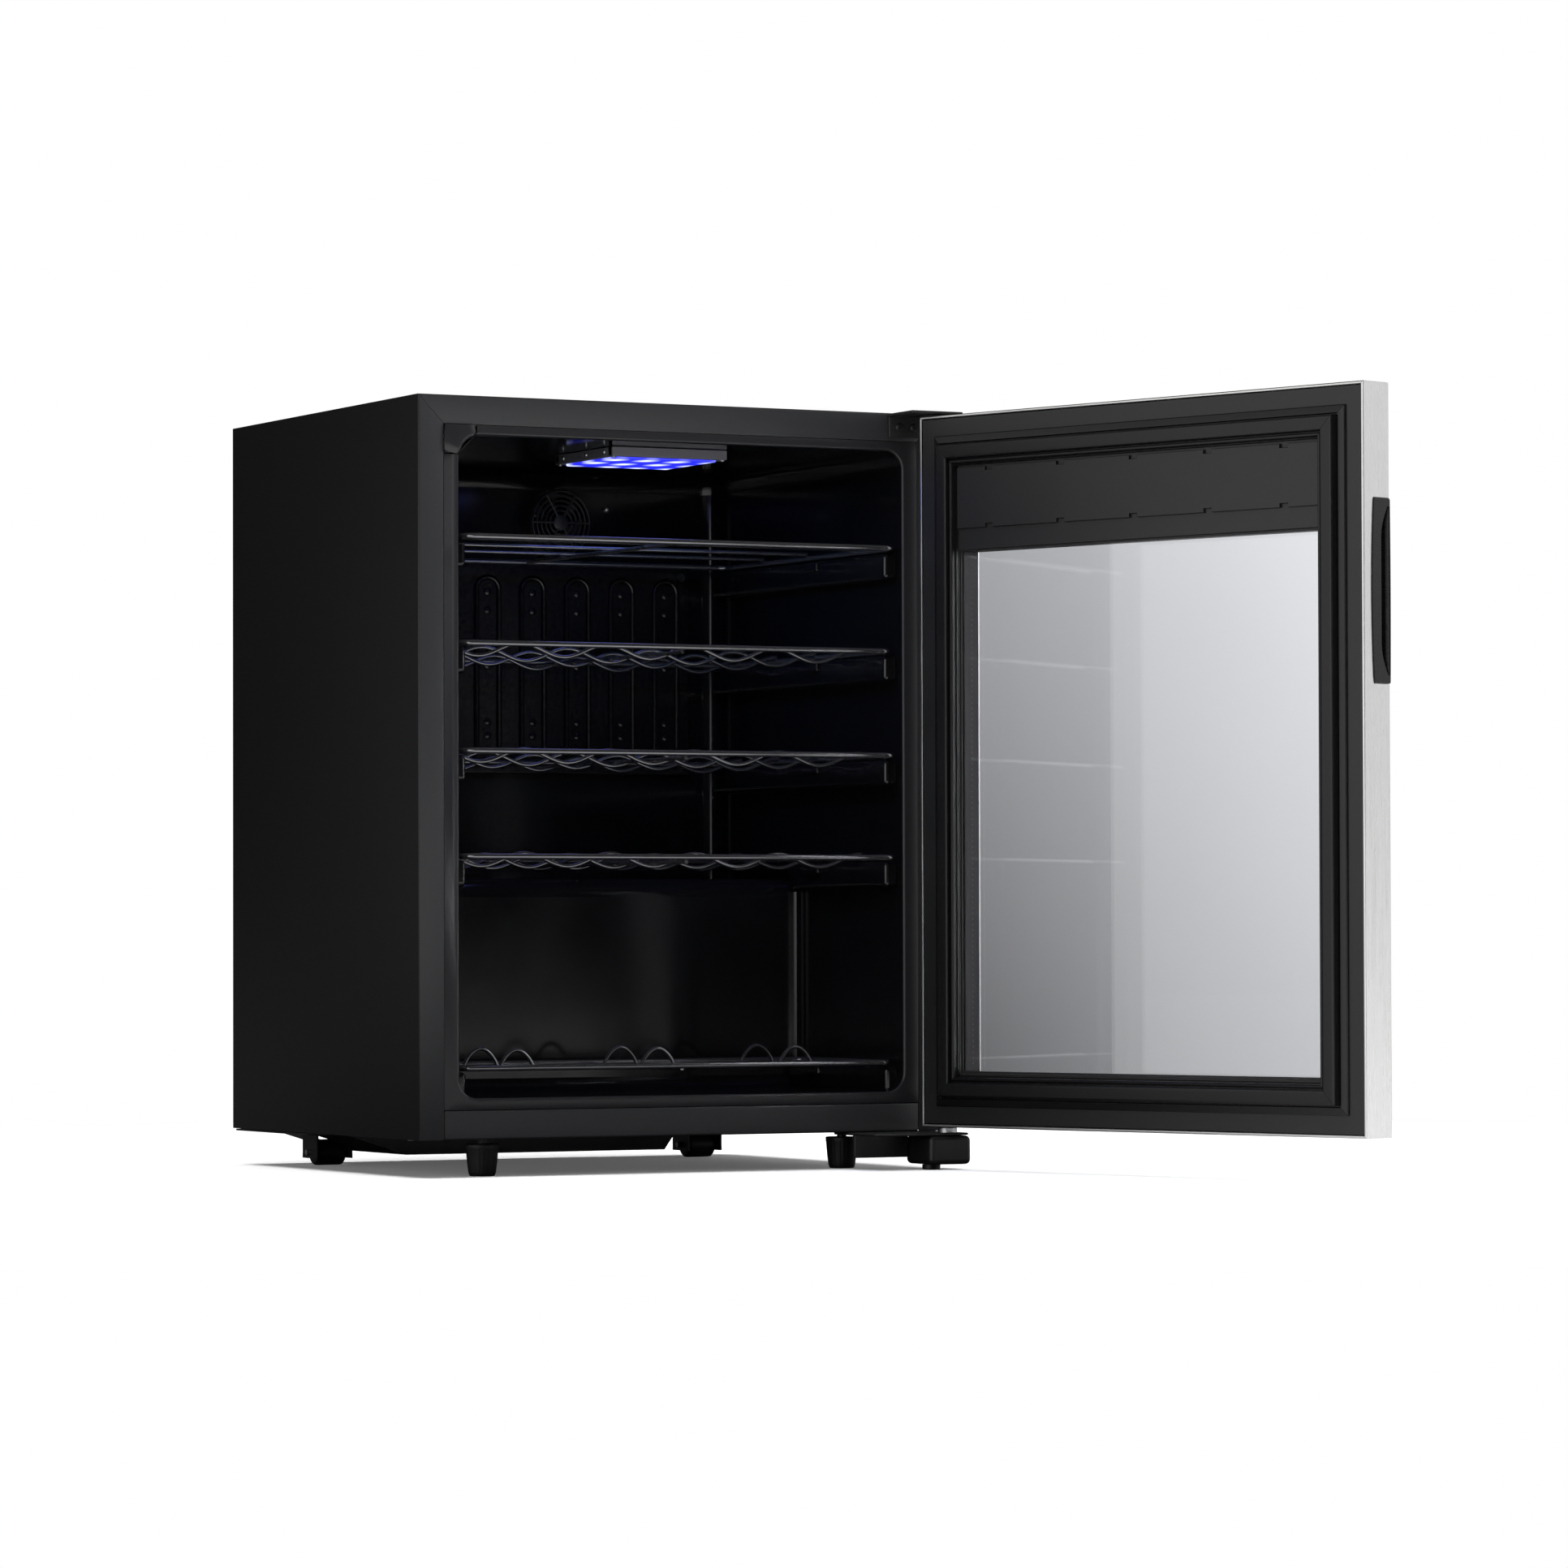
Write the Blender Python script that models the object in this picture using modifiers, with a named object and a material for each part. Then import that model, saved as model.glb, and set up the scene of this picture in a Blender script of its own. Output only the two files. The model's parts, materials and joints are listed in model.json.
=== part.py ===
"""Compressor mini fridge with a glass door, modelled with its door standing open.

Everything is placed in the case frame first: x to the right, y to the back with y = 0
on the case's front face, z up from the floor.  One empty then carries the whole fridge
so that the origin is on the floor under the middle of the fridge with its open door.
"""
import math

import bmesh
import bpy
from mathutils import Matrix, Vector

# ---------------------------------------------------------------- driving dimensions
CASE_W = 0.480            # width over the side panels
CASE_D = 0.389            # front flange to rear flange
CASE_Z0 = 0.031           # underside of the side panels above the floor
CASE_Z1 = 0.632           # top of the case
SHEET = 0.001             # steel sheet
GAP = 0.0003              # air between neighbouring pieces
ROOM = 0.001              # air between the folded panels and what they hold
WALL = 0.002              # moulded liner wall

SIDE_FLANGE = 0.0222      # width of the front flange on each side
TOP_FLANGE = 0.0235       # height of the front flange along the top
REAR_FLANGE = 0.015
RAIL_TOP = 0.0547         # top of the rail under the door opening

CAVITY_X = 0.2043         # half width inside the liner
CAVITY_Z0 = 0.0642        # liner floor
CAVITY_Z1 = 0.600         # liner ceiling
CAVITY_Y = 0.345          # liner rear wall
HUMP_Y = 0.190            # front of the step over the compressor
HUMP_Z = 0.2436           # top of the step
COVE_R = 0.016            # radius of the liner's corners

BAY_Y = 0.2262            # front wall of the compressor bay
BAY_Z = 0.2078            # roof of the compressor bay

DOOR_W = 0.475
DOOR_Z0 = 0.0355
DOOR_Z1 = 0.6269
DOOR_IN = -0.009          # y of the door's inner face when it is shut
DOOR_OUT = -0.0413        # y of the door's outer face when it is shut
DOOR_OPEN = 107.8         # degrees the door stands open in this model
PIN_X = 0.2282            # hinge axis
PIN_Y = -0.0304
PIN_R = 0.003

SHELF_HALF_W = 0.1965     # centre line of the shelf frame
SHELF_FRONTS = (-0.001, 0.005, -0.001, -0.001)
SHELF_DEPTH = 0.306       # front wire to rear wire
RACK_FRONT = 0.0075
RACK_DEPTH = 0.160
FRAME_WIRE_R = 0.0025
CROSS_WIRE_R = 0.0017
BOTTLE_PITCH = 0.0786     # five bottles side by side
SHELF_Z = (0.5180, 0.4323, 0.3449, 0.2595)
RACK_Z = 0.0880
LEDGE_X = 0.187           # inner face of the ledges
LEDGE_H = 0.022

FINISHES = {
    "black_steel": ((0.012, 0.012, 0.013), 0.45, 0.0),
    "flange_steel": ((0.035, 0.035, 0.036), 0.5, 0.2),
    "zinc_steel": ((0.55, 0.56, 0.57), 0.35, 1.0),
    "stainless": ((0.72, 0.72, 0.71), 0.28, 1.0),
    "liner_plastic": ((0.016, 0.016, 0.017), 0.16, 0.0),
    "black_plastic": ((0.018, 0.018, 0.018), 0.5, 0.0),
    "grey_plastic": ((0.22, 0.22, 0.23), 0.5, 0.0),
    "rubber": ((0.014, 0.014, 0.014), 0.75, 0.0),
    "foam": ((0.72, 0.63, 0.38), 0.9, 0.0),
    "black_wire": ((0.02, 0.02, 0.021), 0.22, 0.6),
    "aluminium": ((0.05, 0.05, 0.055), 0.35, 0.6),
    "glass": ((0.62, 0.66, 0.66), 0.04, 0.0),
    "lens": ((0.35, 0.5, 1.0), 0.2, 0.0),
    "circuit": ((0.02, 0.14, 0.07), 0.5, 0.0),
    "compressor_paint": ((0.02, 0.02, 0.02), 0.35, 0.0),
    "copper": ((0.72, 0.36, 0.2), 0.3, 1.0),
}


# ---------------------------------------------------------------- scene and materials
def clear_scene():
    for item in list(bpy.data.objects):
        bpy.data.objects.remove(item, do_unlink=True)


def make_collection(name):
    collection = bpy.data.collections.new(name)
    bpy.context.scene.collection.children.link(collection)
    return collection


def make_finish(name):
    material = bpy.data.materials.get(name)
    if material is None:
        colour, roughness, metallic = FINISHES[name]
        material = bpy.data.materials.new(name)
        material.use_nodes = True
        shader = material.node_tree.nodes["Principled BSDF"]
        shader.inputs["Base Color"].default_value = (*colour, 1.0)
        shader.inputs["Roughness"].default_value = roughness
        shader.inputs["Metallic"].default_value = metallic
    return material


class Carrier:
    """An empty that carries pieces, and the point of the case frame where it stands."""

    def __init__(self, name, place=(0, 0, 0), above=None):
        self.place = Vector(place)
        self.empty = bpy.data.objects.new(name, None)
        PARTS.objects.link(self.empty)
        if above is None:
            self.empty.location = self.place
        else:
            self.empty.parent = above.empty
            self.empty.location = self.place - above.place

    def take(self, piece):
        piece.parent = self.empty
        piece.location = piece.location - self.place
        return piece


def new_piece(name, mesh, finish, carrier, place=(0, 0, 0)):
    piece = bpy.data.objects.new(name, mesh)
    PARTS.objects.link(piece)
    piece.location = place
    piece.data.materials.append(make_finish(finish))
    return carrier.take(piece)


def new_cutter(name, mesh, carrier, place=(0, 0, 0)):
    cutter = bpy.data.objects.new(name, mesh)
    CUTTERS.objects.link(cutter)
    cutter.location = place
    cutter.hide_render = True
    cutter.display_type = 'WIRE'
    return carrier.take(cutter)


def mesh_of(bm, name):
    bmesh.ops.recalc_face_normals(bm, faces=bm.faces)
    mesh = bpy.data.meshes.new(name)
    bm.to_mesh(mesh)
    bm.free()
    return mesh


# ---------------------------------------------------------------- shapes
def add_box(bm, low, high):
    size = Vector(high) - Vector(low)
    middle = (Vector(high) + Vector(low)) / 2
    place = Matrix.Translation(middle) @ Matrix.Diagonal((*size, 1))
    bmesh.ops.create_cube(bm, size=1.0, matrix=place)


def box_mesh(name, *boxes):
    bm = bmesh.new()
    for low, high in boxes:
        add_box(bm, low, high)
    return mesh_of(bm, name)


def box(name, low, high, finish, carrier, bevel=0.0, segments=1):
    """A block with its origin at its middle, its edges broken by bevel."""
    middle = (Vector(high) + Vector(low)) / 2
    mesh = box_mesh(name, (Vector(low) - middle, Vector(high) - middle))
    piece = new_piece(name, mesh, finish, carrier, middle)
    if bevel:
        round_edges(piece, bevel, segments)
    return piece


def round_edges(piece, width, segments=1):
    modifier = piece.modifiers.new("rounded edges", 'BEVEL')
    modifier.width = width
    modifier.segments = segments
    modifier.limit_method = 'ANGLE'
    modifier.angle_limit = math.radians(40)
    return piece


AXIS_TURN = {
    'X': Matrix.Rotation(math.pi / 2, 4, 'Y'),
    'Y': Matrix.Rotation(-math.pi / 2, 4, 'X'),
    'Z': Matrix.Identity(4),
}


def add_cylinder(bm, middle, radius, length, axis='Z', sides=16, top_radius=None):
    place = Matrix.Translation(Vector(middle)) @ AXIS_TURN[axis]
    top = radius if top_radius is None else top_radius
    bmesh.ops.create_cone(bm, cap_ends=True, segments=sides, radius1=radius, radius2=top,
                          depth=length, matrix=place)


def cylinder_mesh(name, *cylinders):
    bm = bmesh.new()
    for cylinder in cylinders:
        add_cylinder(bm, *cylinder)
    return mesh_of(bm, name)


def prism_mesh(name, outline, axis, start, end):
    """A flat outline drawn across an axis, pulled along it from start to end."""
    bm = bmesh.new()
    corners = [bm.verts.new(on_axis(axis, a, b, start)) for a, b in outline]
    face = bm.faces.new(corners)
    pulled = bmesh.ops.extrude_face_region(bm, geom=[face])
    moved = [v for v in pulled["geom"] if isinstance(v, bmesh.types.BMVert)]
    bmesh.ops.translate(bm, verts=moved, vec=on_axis(axis, 0, 0, end - start))
    return mesh_of(bm, name)


def on_axis(axis, a, b, along):
    """A point from two coordinates across an axis and one along it."""
    return Vector({'X': (along, a, b), 'Y': (a, along, b), 'Z': (a, b, along)}[axis])


def folded_sheet(name, folds, axis, thickness, finish, carrier):
    """Sheet metal folded along lines parallel to an axis.

    folds lists (a, b, start, end): where a fold crosses the plane across the axis and
    where the sheet starts and ends there.  The metal lies left of the way folds run,
    seen with a to the right and b up.
    """
    bm = bmesh.new()
    rows = [(bm.verts.new(on_axis(axis, a, b, start)), bm.verts.new(on_axis(axis, a, b, end)))
            for a, b, start, end in folds]
    for (near, far), (next_near, next_far) in zip(rows, rows[1:]):
        ring = (near, next_near, next_far, far)
        bm.faces.new(ring[::-1] if axis == 'Y' else ring)
    mesh = bpy.data.meshes.new(name)
    bm.to_mesh(mesh)
    bm.free()
    piece = new_piece(name, mesh, finish, carrier)
    modifier = piece.modifiers.new("sheet", 'SOLIDIFY')
    modifier.thickness = thickness
    modifier.offset = -1.0
    modifier.use_even_offset = True
    return piece


def turned(name, profile, finish, carrier, place, axis='Z', steps=20):
    """A turned piece: profile runs down its outer side as (radius, height)."""
    bm = bmesh.new()
    points = [bm.verts.new((radius, 0, height)) for radius, height in profile]
    for first, second in zip(points, points[1:]):
        bm.edges.new((first, second))
    if min(radius for radius, height in profile) > 0:
        bm.edges.new((points[-1], points[0]))
    mesh = bpy.data.meshes.new(name)
    bm.to_mesh(mesh)
    bm.free()
    piece = new_piece(name, mesh, finish, carrier, place)
    piece.rotation_euler = AXIS_TURN[axis].to_euler()
    modifier = piece.modifiers.new("turning", 'SCREW')
    modifier.steps = steps
    modifier.render_steps = steps
    modifier.use_merge_vertices = True
    modifier.merge_threshold = 0.00005
    return piece


def wire_curve(name, points, radius, resolution=1, cyclic=False):
    curve = bpy.data.curves.new(name, 'CURVE')
    curve.dimensions = '3D'
    curve.bevel_depth = radius
    curve.bevel_resolution = resolution
    curve.use_fill_caps = True
    curve.render_resolution_u = 0
    spline = curve.splines.new('POLY')
    spline.points.add(len(points) - 1)
    for point, place in zip(spline.points, points):
        point.co = (*place, 1)
    spline.use_cyclic_u = cyclic
    return curve


def wire(name, points, radius, finish, carrier, resolution=1):
    return new_piece(name, wire_curve(name, points, radius, resolution), finish, carrier)


def wires_mesh(name, runs, radius, cyclic=False, resolution=1):
    """Several wires that don't touch each other, as one mesh with welded caps."""
    bm = bmesh.new()
    for run in runs:
        drawn = bpy.data.objects.new(name, wire_curve(name, run, radius, resolution, cyclic))
        CUTTERS.objects.link(drawn)
        seen = drawn.evaluated_get(bpy.context.evaluated_depsgraph_get())
        mesh = bpy.data.meshes.new_from_object(seen)
        bm.from_mesh(mesh)
        bpy.data.objects.remove(drawn, do_unlink=True)
        bpy.data.meshes.remove(mesh)
    bmesh.ops.remove_doubles(bm, verts=bm.verts, dist=0.00002)
    return mesh_of(bm, name)


def boolean(piece, cutter, operation):
    modifier = piece.modifiers.new(operation.lower(), 'BOOLEAN')
    modifier.operation = operation
    modifier.solver = 'EXACT'
    modifier.object = cutter
    return piece


def cut(piece, name, mesh, carrier, place=(0, 0, 0)):
    return boolean(piece, new_cutter(name, mesh, carrier, place), 'DIFFERENCE')


def weld_on(piece, name, mesh, carrier, place=(0, 0, 0)):
    return boolean(piece, new_cutter(name, mesh, carrier, place), 'UNION')


def rounded_loop(low, high, radius, z, steps=3):
    """The centre line of a rectangle with round corners in a level plane."""
    points = []
    corners = ((high[0], high[1], 0), (low[0], high[1], 90),
               (low[0], low[1], 180), (high[0], low[1], 270))
    for x, y, start in corners:
        middle_x = x - math.copysign(radius, x)
        middle_y = y - radius if y == high[1] else y + radius
        for step in range(steps + 1):
            turn = math.radians(start + 90 * step / steps)
            points.append((middle_x + radius * math.cos(turn),
                           middle_y + radius * math.sin(turn), z))
    return points


def serpentine(low, high, runs, y, bend_steps=4):
    """Upright runs joined by half-circle bends, in a plane of constant y."""
    pitch = (high[0] - low[0]) / (runs - 1)
    bend = pitch / 2
    points = []
    for run in range(runs):
        x = low[0] + pitch * run
        upward = run % 2 == 0
        ends = (low[1] + bend, high[1] - bend)
        first, last = ends if upward else ends[::-1]
        points.append((x, y, first))
        points.append((x, y, last))
        if run < runs - 1:
            for step in range(1, bend_steps):
                turn = math.pi * step / bend_steps
                rise = bend * math.sin(turn) * (1 if upward else -1)
                points.append((x + bend - bend * math.cos(turn), y, last + rise))
    return points


def mitred_run(name, section, corners, closed, finish, carrier):
    """A moulding of constant section with mitred corners, lying in an upright plane.

    section lists (inset, y); corners lists (x, z, inward_x, inward_z).
    """
    bm = bmesh.new()
    rings = [[bm.verts.new((x + inset * inward_x, y, z + inset * inward_z))
              for inset, y in section] for x, z, inward_x, inward_z in corners]
    pairs = list(zip(rings, rings[1:]))
    if closed:
        pairs.append((rings[-1], rings[0]))
    else:
        bm.faces.new(rings[0])
        bm.faces.new(rings[-1])
    count = len(section)
    for ring, following in pairs:
        for index in range(count):
            after = (index + 1) % count
            bm.faces.new((ring[index], ring[after], following[after], following[index]))
    return new_piece(name, mesh_of(bm, name), finish, carrier)


def rectangle_corners(x0, x1, z0, z1):
    return [(x0, z0, 1, 1), (x1, z0, -1, 1), (x1, z1, -1, -1), (x0, z1, 1, -1)]


# ---------------------------------------------------------------- case
def make_side_panel(name, side):
    """Side panel with its front flange mitred at the top and a rear flange."""
    edge = side * CASE_W / 2
    inner_front = side * (CASE_W / 2 - SIDE_FLANGE)
    inner_rear = side * (CASE_W / 2 - REAR_FLANGE)
    folds = [(inner_rear, CASE_D, CASE_Z0, CASE_Z1 - REAR_FLANGE - GAP),
             (edge, CASE_D, CASE_Z0, CASE_Z1),
             (edge, 0, CASE_Z0, CASE_Z1),
             (inner_front, 0, CASE_Z0, CASE_Z1 - TOP_FLANGE)]
    if side > 0:
        folds.reverse()
    return folded_sheet(name, folds, 'Z', SHEET, "black_steel", CASE)


def make_top_panel():
    half = CASE_W / 2 - SHEET - 2 * ROOM
    front_half = half - SIDE_FLANGE
    rear_half = half - REAR_FLANGE - GAP
    folds = [(CASE_D, CASE_Z1 - REAR_FLANGE, -rear_half, rear_half),
             (CASE_D, CASE_Z1, -half, half),
             (0, CASE_Z1, -half, half),
             (0, CASE_Z1 - TOP_FLANGE, -front_half, front_half)]
    return folded_sheet("top_panel", folds, 'X', SHEET, "black_steel", CASE)


def make_back_panel():
    half = CASE_W / 2 - SHEET - ROOM
    rear = CASE_D - SHEET - 2 * GAP
    low = (-half, rear - SHEET, BAY_Z + SHEET + GAP)
    high = (half, rear, CASE_Z1 - SHEET - ROOM)
    return box("back_panel", low, high, "black_steel", CASE)


def make_base_plate():
    half = CASE_W / 2 - SHEET - ROOM
    return box("base_plate", (-half, 0.0145, 0.0315), (half, 0.2245, 0.0325),
               "zinc_steel", CASE)


def make_bay_panel():
    half = CASE_W / 2 - SHEET - ROOM
    folds = [(BAY_Y, 0.0335, -half, half),
             (BAY_Y, BAY_Z, -half, half),
             (CASE_D - 0.003, BAY_Z, -half, half)]
    return folded_sheet("bay_panel", folds, 'X', SHEET, "zinc_steel", CASE)


def make_front_rail():
    half = CASE_W / 2 - SIDE_FLANGE - 2 * GAP
    folds = [(0.014, RAIL_TOP, -half, half), (0, RAIL_TOP, -half, half),
             (0, CASE_Z0, -half, half), (0.014, CASE_Z0, -half, half)]
    return folded_sheet("bottom_front_rail", folds, 'X', SHEET, "black_steel", CASE)


def make_compressor_base():
    """The sunk plate that carries the compressor, with a well for the left roller."""
    front, rear = 0.230, 0.385
    outline = ((-0.2383, 0.029), (-0.205, 0.029), (-0.148, 0.011),
               (0.095, 0.011), (0.108, 0.029), (0.2383, 0.029))
    folds = [(x, z, front, rear) for x, z in outline]
    piece = folded_sheet("compressor_base", folds, 'Y', 0.0015, "zinc_steel", CASE)
    well = box_mesh("roller_well", ((-ROLLER_X - 0.0205, ROLLER_Y - 0.0185, 0.0),
                                    (-ROLLER_X + 0.0205, ROLLER_Y + 0.0185, 0.05)))
    return cut(piece, "roller_well", well, CASE)


def liner_profile():
    """The cavity seen from the side, as (y, z), with its step over the compressor."""
    return [(0, CAVITY_Z0), (HUMP_Y, CAVITY_Z0), (HUMP_Y, HUMP_Z), (CAVITY_Y, HUMP_Z),
            (CAVITY_Y, CAVITY_Z1), (0, CAVITY_Z1)]


def tub_room_profile(room):
    """The same outline grown by room, with the step's rounded edge cut off."""
    return [(-0.01, CAVITY_Z0 - room), (HUMP_Y + room, CAVITY_Z0 - room),
            (HUMP_Y + room, HUMP_Z - COVE_R - room / 2),
            (HUMP_Y + COVE_R + room / 2, HUMP_Z - room), (CAVITY_Y + room, HUMP_Z - room),
            (CAVITY_Y + room, CAVITY_Z1 + room), (-0.01, CAVITY_Z1 + room)]


def make_liner():
    """The moulded tub: an open shell with rounded corners and a lip round its mouth."""
    bm = bmesh.new()
    bm.from_mesh(prism_mesh("tub", liner_profile(), 'X', -CAVITY_X, CAVITY_X))
    mouth = [f for f in bm.faces if all(abs(v.co.y) < 1e-6 for v in f.verts)]
    bmesh.ops.delete(bm, geom=mouth, context='FACES')
    corners = [e for e in bm.edges if len(e.link_faces) == 2]
    bmesh.ops.bevel(bm, geom=corners, offset=COVE_R, segments=3, profile=0.5,
                    affect='EDGES')
    rim = [e for e in bm.edges if len(e.link_faces) == 1]
    widened = bmesh.ops.extrude_edge_only(bm, edges=rim)
    for vert in widened["geom"]:
        if isinstance(vert, bmesh.types.BMVert):
            vert.co = lip_corner(vert.co)
    bmesh.ops.recalc_face_normals(bm, faces=bm.faces)
    rear = max(bm.faces, key=lambda f: f.calc_center_median().y)
    if rear.normal.y > 0:
        bmesh.ops.reverse_faces(bm, faces=bm.faces)
    mesh = bpy.data.meshes.new("inner_liner")
    bm.to_mesh(mesh)
    bm.free()
    piece = new_piece("inner_liner", mesh, "liner_plastic", CASE)
    shell = piece.modifiers.new("wall", 'SOLIDIFY')
    shell.thickness = WALL
    shell.offset = -1.0
    shell.use_even_offset = True
    weld_on(piece, "liner_ledges", box_mesh("liner_ledges", *ledge_boxes()), CASE)
    weld_on(piece, "ledge_stops", box_mesh("ledge_stops", *stop_boxes()), CASE)
    return piece


def lip_corner(point):
    """Where a point of the round mouth goes on the lip's square outer edge."""
    lip_x = CASE_W / 2 - SIDE_FLANGE - GAP - CAVITY_X
    middle_x = CAVITY_X - COVE_R
    upper = point.z > (CAVITY_Z0 + CAVITY_Z1) / 2
    lip_z = (CASE_Z1 - TOP_FLANGE - GAP - CAVITY_Z1) if upper else (CAVITY_Z0 - RAIL_TOP - GAP)
    middle_z = CAVITY_Z1 - COVE_R if upper else CAVITY_Z0 + COVE_R
    across = max(abs(point.x) - middle_x, 0) / COVE_R
    up = max((point.z - middle_z) * (1 if upper else -1), 0) / COVE_R
    stretch = min((COVE_R + lip_x) / across if across > 1e-6 else 9,
                  (COVE_R + lip_z) / up if up > 1e-6 else 9)
    x, z = point.x, point.z
    if across > 1e-6:
        x = math.copysign(middle_x + across * stretch, point.x)
    if up > 1e-6:
        z = middle_z + up * stretch * (1 if upper else -1)
    return Vector((x, 0, z))


def ledge_levels():
    return [z - FRAME_WIRE_R - GAP for z in (*SHELF_Z, RACK_Z)]


def ledge_boxes():
    """Two ledges for each shelf; those level with the step end in front of it."""
    boxes = []
    for top in ledge_levels():
        rear = 0.330 if top - LEDGE_H > HUMP_Z else HUMP_Y - 0.004
        for side in (-1, 1):
            xs = sorted((side * LEDGE_X, side * (CAVITY_X + WALL / 2)))
            boxes.append(((xs[0], 0.010, top - LEDGE_H), (xs[1], rear, top)))
    return boxes


def stop_boxes():
    """A small bump on the inner face of every ledge, which a shelf clicks behind."""
    boxes = []
    for top in ledge_levels():
        for side in (-1, 1):
            xs = sorted((side * (LEDGE_X - 0.003), side * (LEDGE_X + 0.002)))
            boxes.append(((xs[0], 0.127, top - 0.009), (xs[1], 0.150, top - 0.001)))
    return boxes


def make_foam():
    """Foamed insulation that fills the case between the panels and the liner."""
    half = CASE_W / 2 - SHEET - ROOM
    outline = [(0.0145, 0.0328), (BAY_Y - SHEET - GAP, 0.0328),
               (BAY_Y - SHEET - GAP, BAY_Z + SHEET + GAP), (0.3797, BAY_Z + SHEET + GAP),
               (0.3797, CASE_Z1 - SHEET - ROOM), (0.0145, CASE_Z1 - SHEET - ROOM)]
    mesh = prism_mesh("insulation_foam", outline, 'X', -half, half)
    piece = new_piece("insulation_foam", mesh, "foam", CASE)
    room = WALL + GAP
    reach = CAVITY_X + room
    hollow = prism_mesh("tub_room", tub_room_profile(room), 'X', -reach, reach)
    return cut(piece, "tub_room", hollow, CASE)


# ---------------------------------------------------------------- cold parts inside
PLATE_HALF_W = 0.174
PLATE_Z0, PLATE_Z1 = 0.337, 0.519
PLATE_Y = 0.3385
FAN_X, FAN_Z, FAN_R = 0.043, 0.5555, 0.029


def make_evaporator():
    """Roll-bonded plate held off the rear wall by four studs: its channel stands proud."""
    low = (-PLATE_HALF_W, PLATE_Y, PLATE_Z0)
    high = (PLATE_HALF_W, PLATE_Y + 0.0015, PLATE_Z1)
    piece = box("evaporator_plate", low, high, "aluminium", CASE)
    route = serpentine((-PLATE_HALF_W + 0.012, PLATE_Z0 + 0.012),
                       (PLATE_HALF_W - 0.012, PLATE_Z1 - 0.012), 14, PLATE_Y, 3)
    weld_on(piece, "channel", wires_mesh("channel", [route], 0.0025), CASE)
    front, wall = PLATE_Y - 0.0029, CAVITY_Y - GAP
    studs = [((x, (front + wall) / 2, z), 0.004, wall - front, 'Y', 10)
             for x in (-0.166, 0.166) for z in (0.345, 0.511)]
    weld_on(piece, "plate_studs", cylinder_mesh("plate_studs", *studs), CASE)


def make_fan():
    """Small fan on the rear wall that moves the air over the plate."""
    back = CAVITY_Y - GAP
    cup = ((0, back), (FAN_R, back), (FAN_R, 0.3272), (FAN_R - 0.002, 0.3272),
           (FAN_R - 0.002, back - 0.002), (0, back - 0.002))
    # height runs along +y once the turned piece lies on its side
    turned("fan_housing", cup, "black_plastic", CASE, (FAN_X, 0, FAN_Z), 'Y', 24)
    hub = cylinder_mesh("fan_rotor", ((0, 0, 0), 0.009, 0.010, 'Y', 14))
    rotor = new_piece("fan_rotor", hub, "black_plastic", FAN)
    rotor.location = (0, 0, 0)
    bm = bmesh.new()
    for blade in range(5):
        turn = Matrix.Rotation(2 * math.pi * blade / 5, 4, 'Y')
        tilt = Matrix.Rotation(math.radians(28), 4, 'X')
        size = Matrix.Diagonal((0.0165, 0.0012, 0.012, 1))
        place = turn @ Matrix.Translation((0.0165, 0, 0)) @ tilt @ size
        bmesh.ops.create_cube(bm, size=1.0, matrix=place)
    blades = mesh_of(bm, "fan_blades")
    weld_on(rotor, "fan_blades", blades, FAN, FAN.place)
    rings = cylinder_mesh("grille_hub", ((FAN_X, 0.3255, FAN_Z), 0.007, 0.0024, 'Y', 12))
    grille = new_piece("fan_grille", rings, "black_plastic", CASE)
    spokes = box_mesh("grille_spokes", ((FAN_X - FAN_R + 0.001, 0.3246, FAN_Z - 0.0012),
                                        (FAN_X + FAN_R - 0.001, 0.3264, FAN_Z + 0.0012)))
    upright = box_mesh("grille_upright", ((FAN_X - 0.0012, 0.3247, FAN_Z - FAN_R + 0.001),
                                          (FAN_X + 0.0012, 0.3263, FAN_Z + FAN_R - 0.001)))
    weld_on(grille, "grille_spokes", spokes, CASE)
    weld_on(grille, "grille_upright", upright, CASE)
    for number, radius in enumerate((0.014, 0.021, FAN_R - 0.0015)):
        loop = [(FAN_X + radius * math.cos(a), 0.3255, FAN_Z + radius * math.sin(a))
                for a in [2 * math.pi * k / 14 for k in range(14)]]
        name = f"grille_ring_{number}"
        weld_on(grille, name, wires_mesh(name, [loop], 0.0012, True, 0), CASE)


LAMP_X0, LAMP_X1 = -0.0417, 0.0648
LAMP_Y0, LAMP_Y1 = 0.050, 0.160
LAMP_Z0 = 0.5895


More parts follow.
